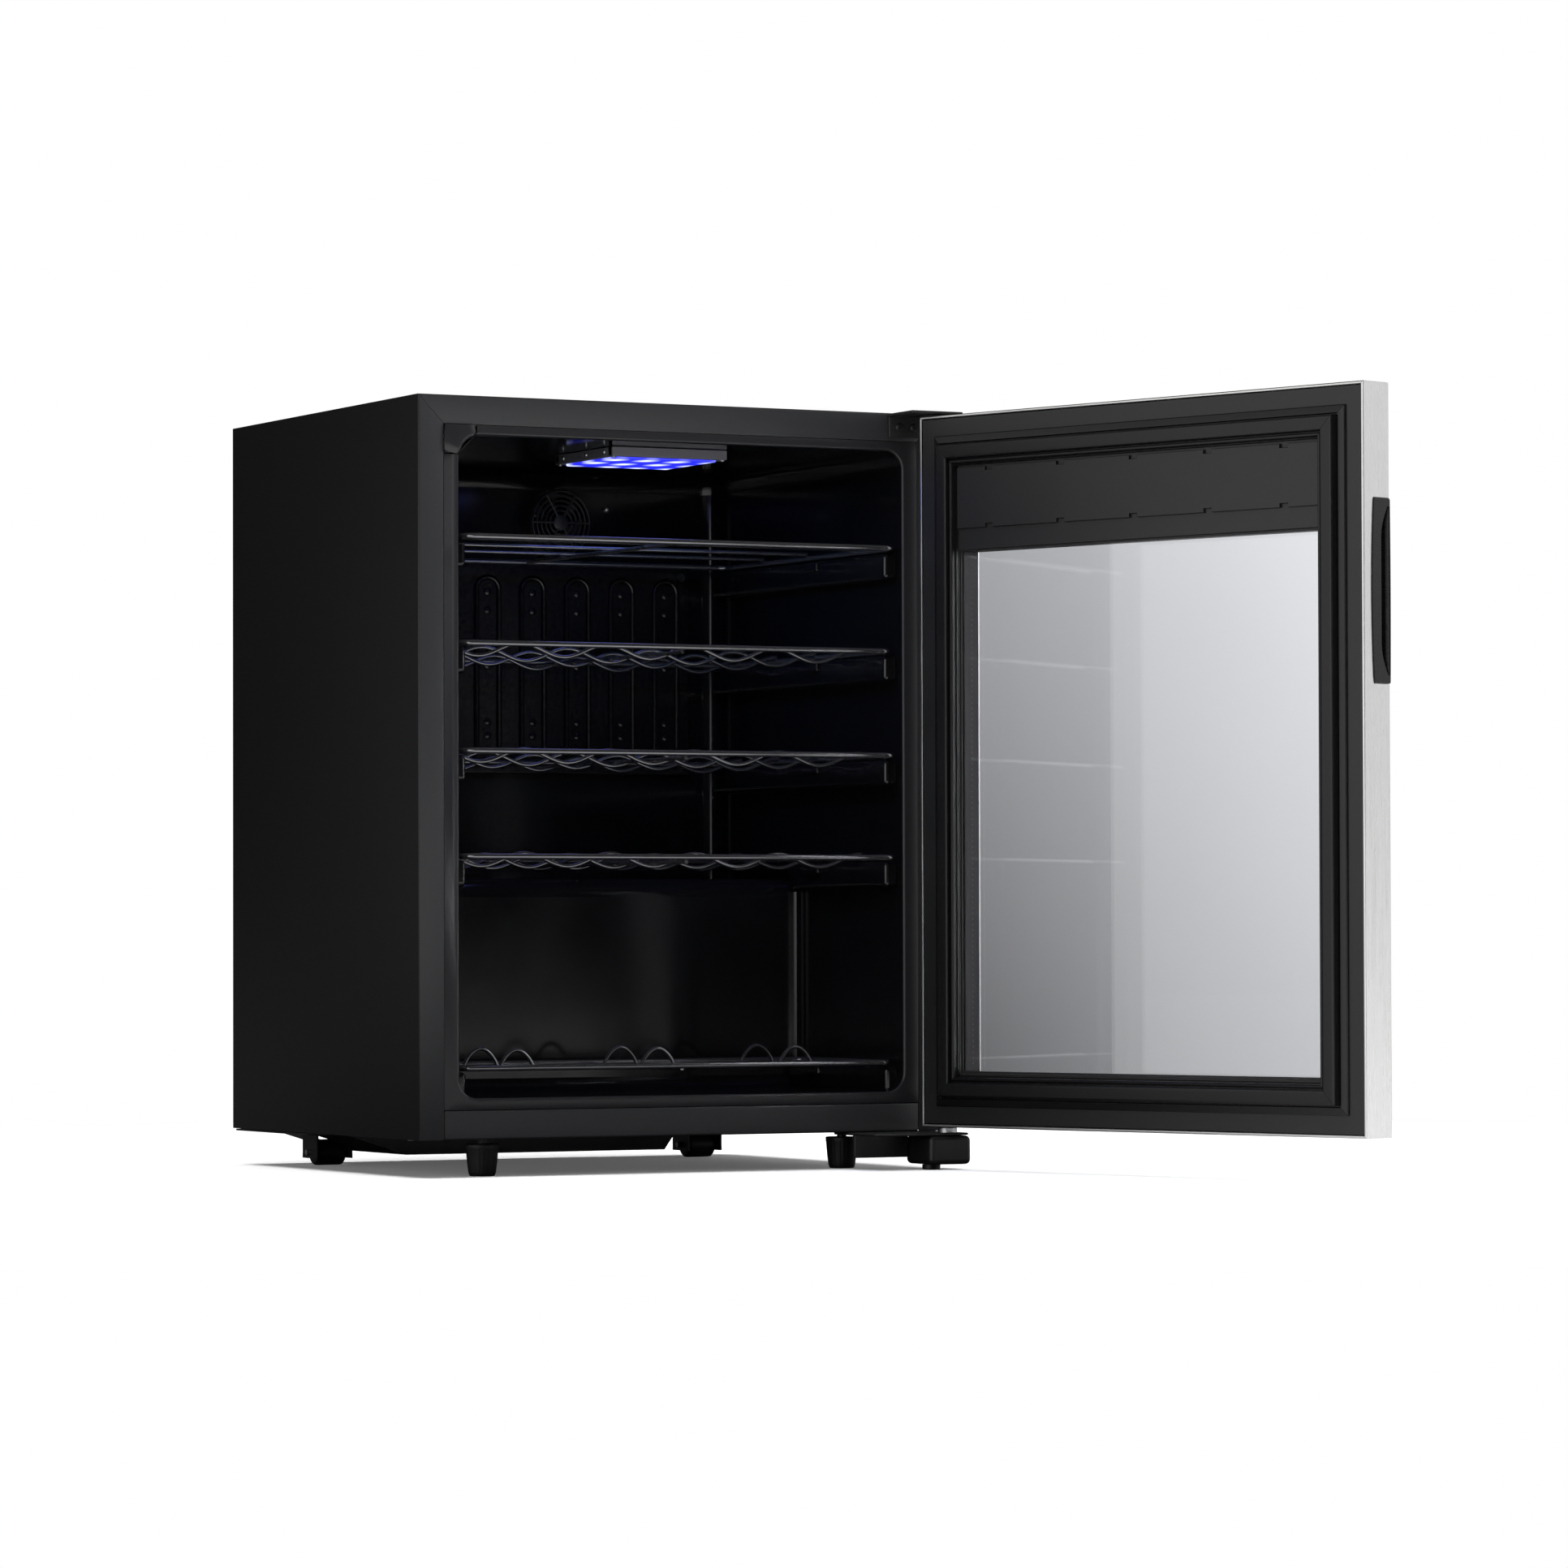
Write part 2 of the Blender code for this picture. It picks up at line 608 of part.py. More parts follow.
def make_lamp():
    """Flat lamp under the ceiling: housing, light board and lens."""
    housing = box("lamp_housing", (LAMP_X0, LAMP_Y0, LAMP_Z0),
                  (LAMP_X1, LAMP_Y1, CAVITY_Z1 - GAP), "grey_plastic", CASE)
    rim = 0.0057
    pocket = box_mesh("lamp_pocket", ((LAMP_X0 + rim, LAMP_Y0 + 0.008, LAMP_Z0 - 0.01),
                                      (LAMP_X1 - rim, LAMP_Y1 - 0.008, LAMP_Z0 + 0.007)))
    cut(housing, "lamp_pocket", pocket, CASE)
    rim += GAP
    box("lamp_lens", (LAMP_X0 + rim, LAMP_Y0 + 0.0083, LAMP_Z0 - 0.0015),
        (LAMP_X1 - rim, LAMP_Y1 - 0.0083, LAMP_Z0 + 0.0025), "lens", CASE, 0.001)
    box("led_board", (LAMP_X0 + rim + 0.004, LAMP_Y0 + 0.012, LAMP_Z0 + 0.004),
        (LAMP_X1 - rim - 0.004, LAMP_Y1 - 0.012, LAMP_Z0 + 0.0055), "circuit", CASE)
    heads = [((x, y, LAMP_Z0), 0.0022, 0.003, 'Z', 10)
             for x in (LAMP_X0 + 0.0028, LAMP_X1 - 0.0028)
             for y in (LAMP_Y0 + 0.004, LAMP_Y1 - 0.004)]
    weld_on(housing, "lamp_screws", cylinder_mesh("lamp_screws", *heads), CASE)


# ---------------------------------------------------------------- shelves
FLAT_WIRE_YS = (0.078, 0.158, 0.238)          # behind the front wire
WAVE_WIRE_YS = (0.062, 0.137, 0.209, 0.281)
RACK_WIRE_YS = (0.045, 0.115)
WAVE_CREST, WAVE_DIP = 0.0037, -0.0072        # above the frame's middle line
RACK_PITCH = 0.129
ARCH_HALF_W = 0.0150
ARCH_CREST, ARCH_BASE = 0.0135, -0.0008


def wave_run(y, z, crest, dip, steps_per_pitch=4):
    """A wire across the shelf that dips under each of five bottles."""
    count = 5 * steps_per_pitch
    points = []
    for step in range(count + 1):
        x = -SHELF_HALF_W + 2 * SHELF_HALF_W * step / count
        swing = math.cos(2 * math.pi * x / BOTTLE_PITCH)
        level = (crest + dip) / 2 - swing * (crest - dip) / 2
        ceiling = 0.0037 + 0.55 * (SHELF_HALF_W - abs(x))
        points.append((x, y, z + min(level, ceiling)))
    return points


def arched_run(y, z, crest, dip):
    """A wire across the rack that is straight but for three arches between bottles."""
    points = [(-SHELF_HALF_W, y, z + dip)]
    for middle in (-RACK_PITCH, 0.0, RACK_PITCH):
        for step in range(-4, 5):
            rise = math.cos(math.pi * step / 8) ** 0.7 if abs(step) < 4 else 0.0
            points.append((middle + ARCH_HALF_W * step / 4, y, z + dip + rise * (crest - dip)))
    return points + [(SHELF_HALF_W, y, z + dip)]


def make_shelf(name, front, depth, z, across, middle_drop, carrier):
    """A wire shelf: a closed frame, wires across it and one down its middle."""
    rear = front + depth
    loop = rounded_loop((-SHELF_HALF_W, front), (SHELF_HALF_W, rear), 0.012, z)
    piece = new_piece(name, wires_mesh(name, [loop], FRAME_WIRE_R, True), "black_wire",
                      carrier)
    weld_on(piece, name + "_across", wires_mesh(name + "_across", across, CROSS_WIRE_R, False, 0),
            carrier)
    middle = [(0, front, z - middle_drop), (0, rear, z - middle_drop)]
    weld_on(piece, name + "_middle", wires_mesh(name + "_middle", [middle], CROSS_WIRE_R),
            carrier)
    return piece


def make_shelves():
    """One flat shelf, three that cradle bottles, and a short rack on the floor."""
    for number, (z, front) in enumerate(zip(SHELF_Z, SHELF_FRONTS), 1):
        name = f"wire_shelf_{number}"
        carrier = Carrier(name + "_slide", (0, front, z), CASE)
        if number == 1:
            level = z + WAVE_CREST
            across = [[(-SHELF_HALF_W, front + y, level), (SHELF_HALF_W, front + y, level)]
                      for y in FLAT_WIRE_YS]
            make_shelf(name, front, SHELF_DEPTH, z, across, 0.0, carrier)
        else:
            across = [wave_run(front + y, z, WAVE_CREST, WAVE_DIP) for y in WAVE_WIRE_YS]
            make_shelf(name, front, SHELF_DEPTH, z, across, 0.004, carrier)
    carrier = Carrier("bottom_rack_slide", (0, RACK_FRONT, RACK_Z), CASE)
    across = [arched_run(RACK_FRONT + y, RACK_Z, ARCH_CREST, ARCH_BASE)
              for y in RACK_WIRE_YS]
    make_shelf("bottom_rack", RACK_FRONT, RACK_DEPTH, RACK_Z, across, 0.0022, carrier)


# ---------------------------------------------------------------- hinges
def make_hinges():
    """Bracket over the door, bracket and block under it; each carries a hinge pin."""
    right = CASE_W / 2 - 0.0015
    top = box("top_hinge_bracket", (0.190, -0.043, 0.6287), (right, -GAP, 0.6312),
              "black_steel", CASE)
    weld_on(top, "top_hinge_leg", box_mesh("top_hinge_leg", (
        (0.1905, -0.0025, 0.6115), (right - 0.0005, -GAP - 0.0001, 0.630))), CASE)
    weld_on(top, "top_hinge_pin", cylinder_mesh(
        "top_hinge_pin", ((PIN_X, PIN_Y, 0.621), PIN_R, 0.018, 'Z', 16)), CASE)
    bottom = box("bottom_hinge_bracket", (0.150, -0.048, 0.0286), (right, 0.024, 0.0307),
                 "black_steel", CASE)
    weld_on(bottom, "bottom_hinge_hub", cylinder_mesh(
        "bottom_hinge_hub", ((PIN_X, PIN_Y, 0.0322), 0.008, 0.0056, 'Z', 18)), CASE)
    weld_on(bottom, "bottom_hinge_pin", cylinder_mesh(
        "bottom_hinge_pin", ((PIN_X, PIN_Y, 0.040), PIN_R, 0.020, 'Z', 16)), CASE)
    weld_on(bottom, "bottom_hinge_arm", box_mesh("bottom_hinge_arm", (
        (0.1505, -0.012, 0.010), (0.2012, -0.008, 0.0295))), CASE)
    box("bottom_hinge_block", (0.2016, -0.050, 0.0045), (0.2405, -0.006, 0.0283),
        "black_plastic", CASE, 0.003)
    new_piece("hinge_foot", cylinder_mesh("hinge_foot", (
        (0.213, -0.030, 0.0021), 0.0075, 0.0042, 'Z', 14)), "rubber", CASE)
    leg_heads = [((x, -0.0036, 0.620), 0.0035, 0.0036, 'Y', 10) for x in (0.200, 0.214)]
    weld_on(top, "leg_screws", cylinder_mesh("leg_screws", *leg_heads), CASE)
    plate_heads = [((x, 0.012, 0.0275), 0.004, 0.0036, 'Z', 10) for x in (0.170, 0.198, 0.226)]
    weld_on(bottom, "plate_screws", cylinder_mesh("plate_screws", *plate_heads), CASE)


# ---------------------------------------------------------------- door
EDGE_FOLD = 0.0024        # stainless edge seen from inside
FACE_BORDER = 0.040       # stainless border on the outer face
FACE_SHEET = 0.0014
WINDOW_SIDE = 0.043       # door edge to window
WINDOW_TOP = 0.113
WINDOW_BOTTOM = 0.0454
PLATE_FRONT = DOOR_IN - 0.0006
PLATE_BACK = DOOR_IN - 0.004
INNER_PANE = (-0.0173, -0.0133)
OUTER_PANE = (-0.0396, -0.0359)
COVER_TOP, COVER_BOTTOM = DOOR_Z1 - 0.045, DOOR_Z1 - 0.0955
HANDLE_Z0, HANDLE_Z1 = 0.390, 0.5385
HANDLE_Y1 = DOOR_OUT + 0.0208
CUP_Y0, CUP_Y1 = -0.0392, -0.0215


def make_door_frame():
    """Four stainless rails, mitred where they meet."""
    section = [(0, DOOR_IN), (EDGE_FOLD, DOOR_IN), (EDGE_FOLD, DOOR_OUT + FACE_SHEET),
               (FACE_BORDER, DOOR_OUT + FACE_SHEET), (FACE_BORDER, DOOR_OUT), (0, DOOR_OUT)]
    half = DOOR_W / 2
    slip = 0.0002
    low, high = DOOR_Z0, DOOR_Z1
    runs = {
        "door_bottom_rail": [(-half + slip, low, 1, 1), (half - slip, low, -1, 1)],
        "door_hinge_stile": [(half, low + slip, -1, 1), (half, high - slip, -1, -1)],
        "door_top_rail": [(half - slip, high, -1, -1), (-half + slip, high, 1, -1)],
        "door_handle_stile": [(-half, high - slip, 1, -1), (-half, low + slip, 1, 1)],
    }
    rails = {name: mitred_run(name, section, corners, False, "stainless", DOOR)
             for name, corners in runs.items()}
    for name, z in (("door_top_rail", DOOR_Z1), ("door_bottom_rail", DOOR_Z0)):
        hole = cylinder_mesh(name + "_hole", ((PIN_X, PIN_Y, z), 0.0042, 0.012, 'Z', 16))
        cut(rails[name], name + "_hole", hole, DOOR)
    slot = box_mesh("handle_slot", ((-half - 0.01, DOOR_OUT - 0.01, HANDLE_Z0),
                                    (-half + EDGE_FOLD + 0.0002, HANDLE_Y1, HANDLE_Z1)))
    cut(rails["door_handle_stile"], "handle_slot", slot, DOOR)


def make_door_inner_frame():
    """Plastic frame on the inner face, with the window and the control opening."""
    half = DOOR_W / 2
    edge = EDGE_FOLD + GAP
    piece = box("door_inner_frame", (-half + edge, PLATE_BACK, DOOR_Z0 + edge),
                (half - edge, PLATE_FRONT, DOOR_Z1 - edge), "black_plastic", DOOR)
    window = box_mesh("window", ((-half + WINDOW_SIDE, -0.03, DOOR_Z0 + WINDOW_BOTTOM),
                                 (half - WINDOW_SIDE, 0.0, DOOR_Z1 - WINDOW_TOP)))
    cut(piece, "window", window, DOOR)
    room = box_mesh("control_room", ((-0.160, -0.03, COVER_BOTTOM + 0.008),
                                     (0.160, 0.0, COVER_TOP - 0.008)))
    cut(piece, "control_room", room, DOOR)
    box("control_cover", (-0.1935, PLATE_FRONT + GAP, COVER_BOTTOM),
        (0.1935, PLATE_FRONT + 0.0023, COVER_TOP), "black_plastic", DOOR, 0.0006)
    board = box("control_board", (-0.12, -0.0180, 0.536), (0.12, -0.0164, 0.576),
                "circuit", DOOR)
    chips = box_mesh("control_chips",
                     ((-0.10, -0.0170, 0.545), (-0.07, -0.0136, 0.565)),
                     ((-0.02, -0.0170, 0.550), (0.00, -0.0136, 0.570)),
                     ((0.05, -0.0170, 0.542), (0.09, -0.0136, 0.560)))
    weld_on(board, "control_chips", chips, DOOR)


def make_gasket():
    """Magnetic gasket: a flat foot, a lip towards the edge and a soft bulb."""
    base = PLATE_FRONT + GAP
    section = [(0.0175, base), (0.0175, base + 0.0023), (0.0245, base + 0.0032),
               (0.0255, -0.0010), (0.0300, -GAP), (0.0400, -GAP), (0.0432, -0.0020),
               (0.0432, base)]
    half = DOOR_W / 2
    corners = rectangle_corners(-half, half, DOOR_Z0, DOOR_Z1)
    mitred_run("door_gasket", section, corners, True, "rubber", DOOR)


def make_glazing():
    """Two panes held apart by a bar."""
    half = DOOR_W / 2
    border = 0.034
    sill = DOOR_Z0 + WINDOW_BOTTOM
    head = DOOR_Z1 - WINDOW_TOP
    box("inner_glass", (-half + border, INNER_PANE[0], sill - 0.009),
        (half - border, INNER_PANE[1], head + 0.009), "glass", DOOR)
    box("outer_glass", (-half + 0.030, OUTER_PANE[0], DOOR_Z0 + 0.030),
        (half - 0.030, OUTER_PANE[1], DOOR_Z1 - 0.030), "glass", DOOR)
    bar = [(0, INNER_PANE[0] - GAP), (0.008, INNER_PANE[0] - GAP),
           (0.008, OUTER_PANE[1] + GAP), (0, OUTER_PANE[1] + GAP)]
    corners = rectangle_corners(-half + 0.036, half - 0.036, sill - 0.007, head + 0.007)
    mitred_run("glass_spacer", bar, corners, True, "zinc_steel", DOOR)


def make_handle():
    """Finger pocket let into the door's free edge, with a flange out to the face."""
    half = DOOR_W / 2
    cup = box("pocket_handle", (-half + 0.0010, CUP_Y0, HANDLE_Z0 + 0.0020),
              (-half + 0.0220, CUP_Y1, HANDLE_Z1 - 0.0020), "black_plastic", DOOR)
    flange = box_mesh("handle_flange", ((-half - GAP, DOOR_OUT, HANDLE_Z0 + GAP),
                                        (-half + EDGE_FOLD - GAP, HANDLE_Y1 - GAP,
                                         HANDLE_Z1 - GAP)))
    weld_on(cup, "handle_flange", flange, DOOR)
    middle_y = (CUP_Y0 + CUP_Y1) / 2
    pocket = cylinder_mesh(
        "finger_room", ((-half + 0.009, middle_y, HANDLE_Z0 + 0.0145), 0.0074, 0.020, 'X', 16),
        ((-half + 0.009, middle_y, HANDLE_Z1 - 0.0145), 0.0074, 0.020, 'X', 16))
    cut(cup, "finger_ends", pocket, DOOR)
    middle = box_mesh("finger_middle", ((-half - 0.0008, middle_y - 0.0073, HANDLE_Z0 + 0.0145),
                                        (-half + 0.0189, middle_y + 0.0073, HANDLE_Z1 - 0.0145)))
    cut(cup, "finger_middle", middle, DOOR)


def make_door_bushes():
    """Plastic bushes in the door's top and bottom that turn on the hinge pins."""
    for name, low, high in (("top_door_bush", 0.6085, 0.6240),
                            ("bottom_door_bush", 0.0385, 0.0540)):
        ring = ((0.0065, high), (0.0065, low), (0.0034, low), (0.0034, high))
        turned(name, ring, "grey_plastic", DOOR, (PIN_X, PIN_Y, 0), 'Z', 18)


# ---------------------------------------------------------------- cooling machine
COMP_X, COMP_Y = -0.030, 0.308


def make_compressor():
    """Hermetic compressor on rubber grommets, with its relay cover and drip tray."""
    shell = ((0, 0.165), (0.030, 0.162), (0.047, 0.152), (0.055, 0.135), (0.056, 0.110),
             (0.058, 0.107), (0.058, 0.103), (0.056, 0.100), (0.055, 0.060),
             (0.046, 0.040), (0.020, 0.032), (0, 0.032))
    body = turned("compressor", shell, "compressor_paint", CASE, (COMP_X, COMP_Y, 0))
    foot = box_mesh("compressor_feet", ((COMP_X - 0.074, COMP_Y - 0.052, 0.0268),
                                        (COMP_X + 0.074, COMP_Y + 0.052, 0.0350)))
    weld_on(body, "compressor_feet", foot, CASE)
    spots = [(COMP_X + x, COMP_Y + y) for x in (-0.064, 0.064) for y in (-0.042, 0.042)]
    names = ("front_left", "rear_left", "front_right", "rear_right")
    for name, (x, y) in zip(names, spots):
        name = "grommet_" + name
        grommet = cylinder_mesh(name, ((0, 0, 0), 0.0075, 0.0135, 'Z', 14))
        new_piece(name, grommet, "rubber", CASE, (x, y, 0.01965))
    box("relay_cover", (COMP_X + 0.0585, COMP_Y - 0.022, 0.070),
        (COMP_X + 0.080, COMP_Y + 0.022, 0.125), "black_plastic", CASE, 0.003)
    tray = box("drip_tray", (COMP_X - 0.055, COMP_Y - 0.050, 0.1665),
               (COMP_X + 0.055, COMP_Y + 0.050, 0.1865), "black_plastic", CASE)
    hollow = box_mesh("tray_hollow", ((COMP_X - 0.053, COMP_Y - 0.048, 0.1685),
                                      (COMP_X + 0.053, COMP_Y + 0.048, 0.200)))
    cut(tray, "tray_hollow", hollow, CASE)


def make_pipework():
    """Suction and discharge pipes, the filter drier and the condenser run."""
    roof = BAY_Z - GAP
    suction = [(COMP_X - 0.0590, COMP_Y, 0.120), (-0.105, COMP_Y, 0.120),
               (-0.113, COMP_Y, 0.124), (-0.116, COMP_Y, 0.132), (-0.116, COMP_Y, roof)]
    wire("suction_pipe", suction, 0.004, "copper", CASE, 2)
    start_y = COMP_Y + 0.0585
    discharge = [(COMP_X, start_y, 0.085), (COMP_X, 0.371, 0.085), (COMP_X + 0.006, 0.375, 0.085),
                 (0.142, 0.375, 0.085), (0.149, 0.375, 0.088), (0.152, 0.375, 0.095),
                 (0.152, 0.375, roof)]
    wire("discharge_pipe", discharge, 0.003, "copper", CASE, 2)
    drier = ((0, roof), (0.0022, roof), (0.0022, 0.165), (0.009, 0.157), (0.009, 0.095),
             (0.0022, 0.087), (0.0022, 0.070), (0, 0.070))
    turned("filter_drier", drier, "copper", CASE, (0.120, 0.340, 0), 'Z', 14)
    route = serpentine((-0.200, 0.235), (0.200, 0.600), 10, 0.3832, 3)
    wire("condenser_pipe", route, 0.0025, "copper", CASE, 1)


def make_cord_gland():
    """Bush in the back panel where the mains lead would come out."""
    rear = CASE_D - SHEET - GAP
    ring = ((0.009, rear + 0.005), (0.009, rear + 0.0015), (0.011, rear + 0.0015),
            (0.011, rear), (0.0035, rear), (0.0035, rear + 0.005))
    turned("cord_gland", ring, "rubber", CASE, (0.190, 0, 0.226), 'Y', 18)


# ---------------------------------------------------------------- feet and rollers
FOOT_X, FOOT_Y = 0.166, 0.040
ROLLER_X, ROLLER_Y, ROLLER_R = 0.177, 0.330, 0.011


def make_feet():
    """Screw-in levelling feet under the front."""
    profile = ((0, 0.0312), (0.004, 0.0312), (0.004, 0.0262), (0.0135, 0.0262),
               (0.0135, 0.0225), (0.0115, 0.0030), (0.0105, 0), (0, 0))
    for name, side in (("front_left_foot", -1), ("front_right_foot", 1)):
        place = (side * FOOT_X, FOOT_Y, 0)
        turned(name, profile, "black_plastic", Carrier(name + "_turn", place, CASE), place,
               steps=16)


def make_rollers():
    """Rollers under the rear, each on an axle between two ears."""
    half = 0.013
    ring = ((ROLLER_R, half), (ROLLER_R, -half), (0.0028, -half), (0.0028, half))
    ear, ear_y = 0.0165, 0.0155
    for name, side in (("left", -1), ("right", 1)):
        x = side * ROLLER_X
        place = (x, ROLLER_Y, ROLLER_R)
        turned(name + "_roller", ring, "black_plastic",
               Carrier(name + "_roller_turn", place, CASE), place, 'X', 20)
        folds = [(x + ear, 0.006, ROLLER_Y - ear_y, ROLLER_Y + ear_y),
                 (x + ear, 0.0272, ROLLER_Y - ear_y, ROLLER_Y + ear_y),
                 (x - ear, 0.0272, ROLLER_Y - ear_y, ROLLER_Y + ear_y),
                 (x - ear, 0.006, ROLLER_Y - ear_y, ROLLER_Y + ear_y)]
        bracket = folded_sheet(name + "_roller_bracket", folds, 'Y', 0.0015, "black_steel",
                               CASE)
        bore = cylinder_mesh(name + "_axle_hole", (place, 0.0028, 0.05, 'X', 14))
        cut(bracket, name + "_axle_hole", bore, CASE)
        axle = cylinder_mesh(name + "_axle", ((0, 0, 0), 0.0024, 0.0400, 'X', 12))
        new_piece(name + "_axle", axle, "zinc_steel", CASE, place)


# ---------------------------------------------------------------- assembly
def stand_on_origin():
    """Move the whole fridge so that the middle of its box is over the origin."""
    bpy.context.view_layer.update()
    graph = bpy.context.evaluated_depsgraph_get()
    points = []
    for piece in PARTS.objects:
        if piece.type != 'EMPTY':
            seen = piece.evaluated_get(graph)
            place = seen.matrix_world
            points += [place @ vert.co for vert in seen.to_mesh().vertices]
            seen.to_mesh_clear()
    middle = [(min(p[i] for p in points) + max(p[i] for p in points)) / 2 for i in (0, 1)]
    CASE.empty.location = (-middle[0], -middle[1], 0)


clear_scene()
PARTS = make_collection("mini_fridge")
CUTTERS = make_collection("cutters")
CASE = Carrier("fridge")
DOOR = Carrier("door_hinge", (PIN_X, PIN_Y, 0), CASE)
DOOR.empty.rotation_euler = (0, 0, math.radians(DOOR_OPEN))
FAN = Carrier("fan_axis", (FAN_X, 0.3355, FAN_Z), CASE)

make_side_panel("left_side_panel", -1)
make_side_panel("right_side_panel", 1)
make_top_panel()
make_back_panel()
make_base_plate()
make_bay_panel()
make_front_rail()
make_compressor_base()
make_liner()
make_foam()
make_evaporator()
make_fan()
make_lamp()
make_shelves()
make_hinges()
make_door_frame()
make_door_inner_frame()
make_gasket()
make_glazing()
make_handle()
make_door_bushes()
make_compressor()
make_pipework()
make_cord_gland()
make_feet()
make_rollers()
stand_on_origin()
print("fridge carried to", tuple(round(v, 5) for v in CASE.empty.location))
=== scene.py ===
# %% [markdown]
# # A mini fridge with its glass door open
#
# This lesson dresses a packed mechanical model of a mini fridge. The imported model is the
# frame: it fixes every size, place and hinge. Around it we build what the eye judges:
# folded steel with soft bends, a glossy moulded tub, bent wire shelves, a rubber gasket,
# brushed stainless steel and double glazing.

# %% Load the frame
import json
import math

import bmesh
import bpy
from mathutils import Matrix, Vector


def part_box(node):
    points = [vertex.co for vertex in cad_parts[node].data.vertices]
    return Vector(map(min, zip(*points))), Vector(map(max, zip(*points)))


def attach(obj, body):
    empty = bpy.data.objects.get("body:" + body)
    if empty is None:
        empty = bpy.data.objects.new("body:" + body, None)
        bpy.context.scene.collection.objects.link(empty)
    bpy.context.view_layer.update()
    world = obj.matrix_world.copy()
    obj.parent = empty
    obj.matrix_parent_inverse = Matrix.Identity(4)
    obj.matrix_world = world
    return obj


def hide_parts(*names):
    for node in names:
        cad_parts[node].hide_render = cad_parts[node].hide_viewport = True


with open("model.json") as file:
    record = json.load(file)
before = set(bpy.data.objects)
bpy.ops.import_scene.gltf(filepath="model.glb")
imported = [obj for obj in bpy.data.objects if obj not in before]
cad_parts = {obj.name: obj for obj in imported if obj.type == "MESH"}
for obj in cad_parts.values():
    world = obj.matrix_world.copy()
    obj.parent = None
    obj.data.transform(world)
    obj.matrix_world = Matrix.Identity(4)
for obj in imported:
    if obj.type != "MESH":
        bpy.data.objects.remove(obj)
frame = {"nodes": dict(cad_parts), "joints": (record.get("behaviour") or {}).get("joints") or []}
nodes = frame["nodes"]
joints = {joint["name"]: joint for joint in frame["joints"]}
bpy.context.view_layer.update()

# %% [markdown]
# The case is easiest to draw in its own coordinates: x = 0 in the middle, y = 0 on the
# front face, z = 0 on the floor. The door is drawn shut, where all its edges are square
# to the axes, and one matrix then swings each door piece out to where the frame has it.
# The hinge joint gives both the pivot and the angle, so nothing is measured twice.

# %% Case and door coordinates
left_low, left_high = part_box("left_side_panel")
right_low, right_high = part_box("right_side_panel")
HALF_W = (right_high.x - left_low.x) / 2
DEPTH = left_high.y - left_low.y
CASE_LOW, CASE_TOP = left_low.z, left_high.z
CASE_PLACE = Matrix.Translation(((left_low.x + right_high.x) / 2, left_low.y, 0))

door_joint = joints["door_swing"]
DOOR_ANGLE = -door_joint["range_deg"][0]
pivot = Vector(door_joint["pos_m"])
DOOR_PLACE = (Matrix.Translation(pivot) @ Matrix.Rotation(math.radians(DOOR_ANGLE), 4, 'Z')
              @ Matrix.Translation(-pivot) @ CASE_PLACE)
print(f"case {2 * HALF_W:.3f} x {DEPTH:.3f} x {CASE_TOP:.3f} m, door open {DOOR_ANGLE:.1f}")


def case_box(node, place=CASE_PLACE):
    """Lowest and highest corner of a node in the coordinates of its own drawing."""
    back = place.inverted()
    corners = [back @ vert.co for vert in nodes[node].data.vertices]
    low = Vector([min(c[i] for c in corners) for i in range(3)])
    high = Vector([max(c[i] for c in corners) for i in range(3)])
    return low, high


def door_box(node):
    return case_box(node, DOOR_PLACE)


# %% [markdown]
# Every finish starts from one helper that makes a Principled material, and a second one
# that lays a fine noise or a stretched noise over it. Real surfaces are never one flat
# value: paint has orange peel, plastic has a spark-eroded grain, and brushed steel has
# scratches that all run one way. The noise drives colour, roughness and bump together.

# %% Helpers for materials
def new_material(name, colour, roughness, metallic=0.0, **sockets):
    material = bpy.data.materials.new(name)
    material.use_nodes = True
    shader = material.node_tree.nodes["Principled BSDF"]
    shader.inputs["Base Color"].default_value = (*colour, 1)
    shader.inputs["Roughness"].default_value = roughness
    shader.inputs["Metallic"].default_value = metallic
    for socket, value in sockets.items():
        shader.inputs[socket.replace("_", " ")].default_value = value
    return material


def fill(tree, socket, value):
    """Link an output socket into an input, or set a plain value on it."""
    if isinstance(value, bpy.types.NodeSocket):
        tree.links.new(value, socket)
    else:
        socket.default_value = value


def add_node(tree, kind, *feeds, **settings):
    """A node whose inputs are fed in order, or by name with the other settings."""
    node = tree.nodes.new(kind)
    for key, value in settings.items():
        if key.replace("_", " ") in node.inputs:
            fill(tree, node.inputs[key.replace("_", " ")], value)
        else:
            setattr(node, key, value)
    for socket, value in zip(node.inputs, feeds):
        fill(tree, socket, value)
    return node


def grain(tree, scale, stretch=(1, 1, 1), detail=3.0):
    """A noise in the object's own metres, stretched along an axis if asked."""
    place = add_node(tree, "ShaderNodeTexCoord")
    mapping = add_node(tree, "ShaderNodeMapping", Vector=place.outputs["Object"],
                       Scale=stretch)
    noise = add_node(tree, "ShaderNodeTexNoise", Vector=mapping.outputs["Vector"],
                     Scale=scale, Detail=detail)
    return noise.outputs["Fac"]


def spread(tree, value, low, high, start=0.3, end=0.7):
    """Map a noise value from start..end on to low..high."""
    ramp = add_node(tree, "ShaderNodeMapRange", Value=value, From_Min=start, From_Max=end,
                    To_Min=low, To_Max=high)
    return ramp.outputs["Result"]


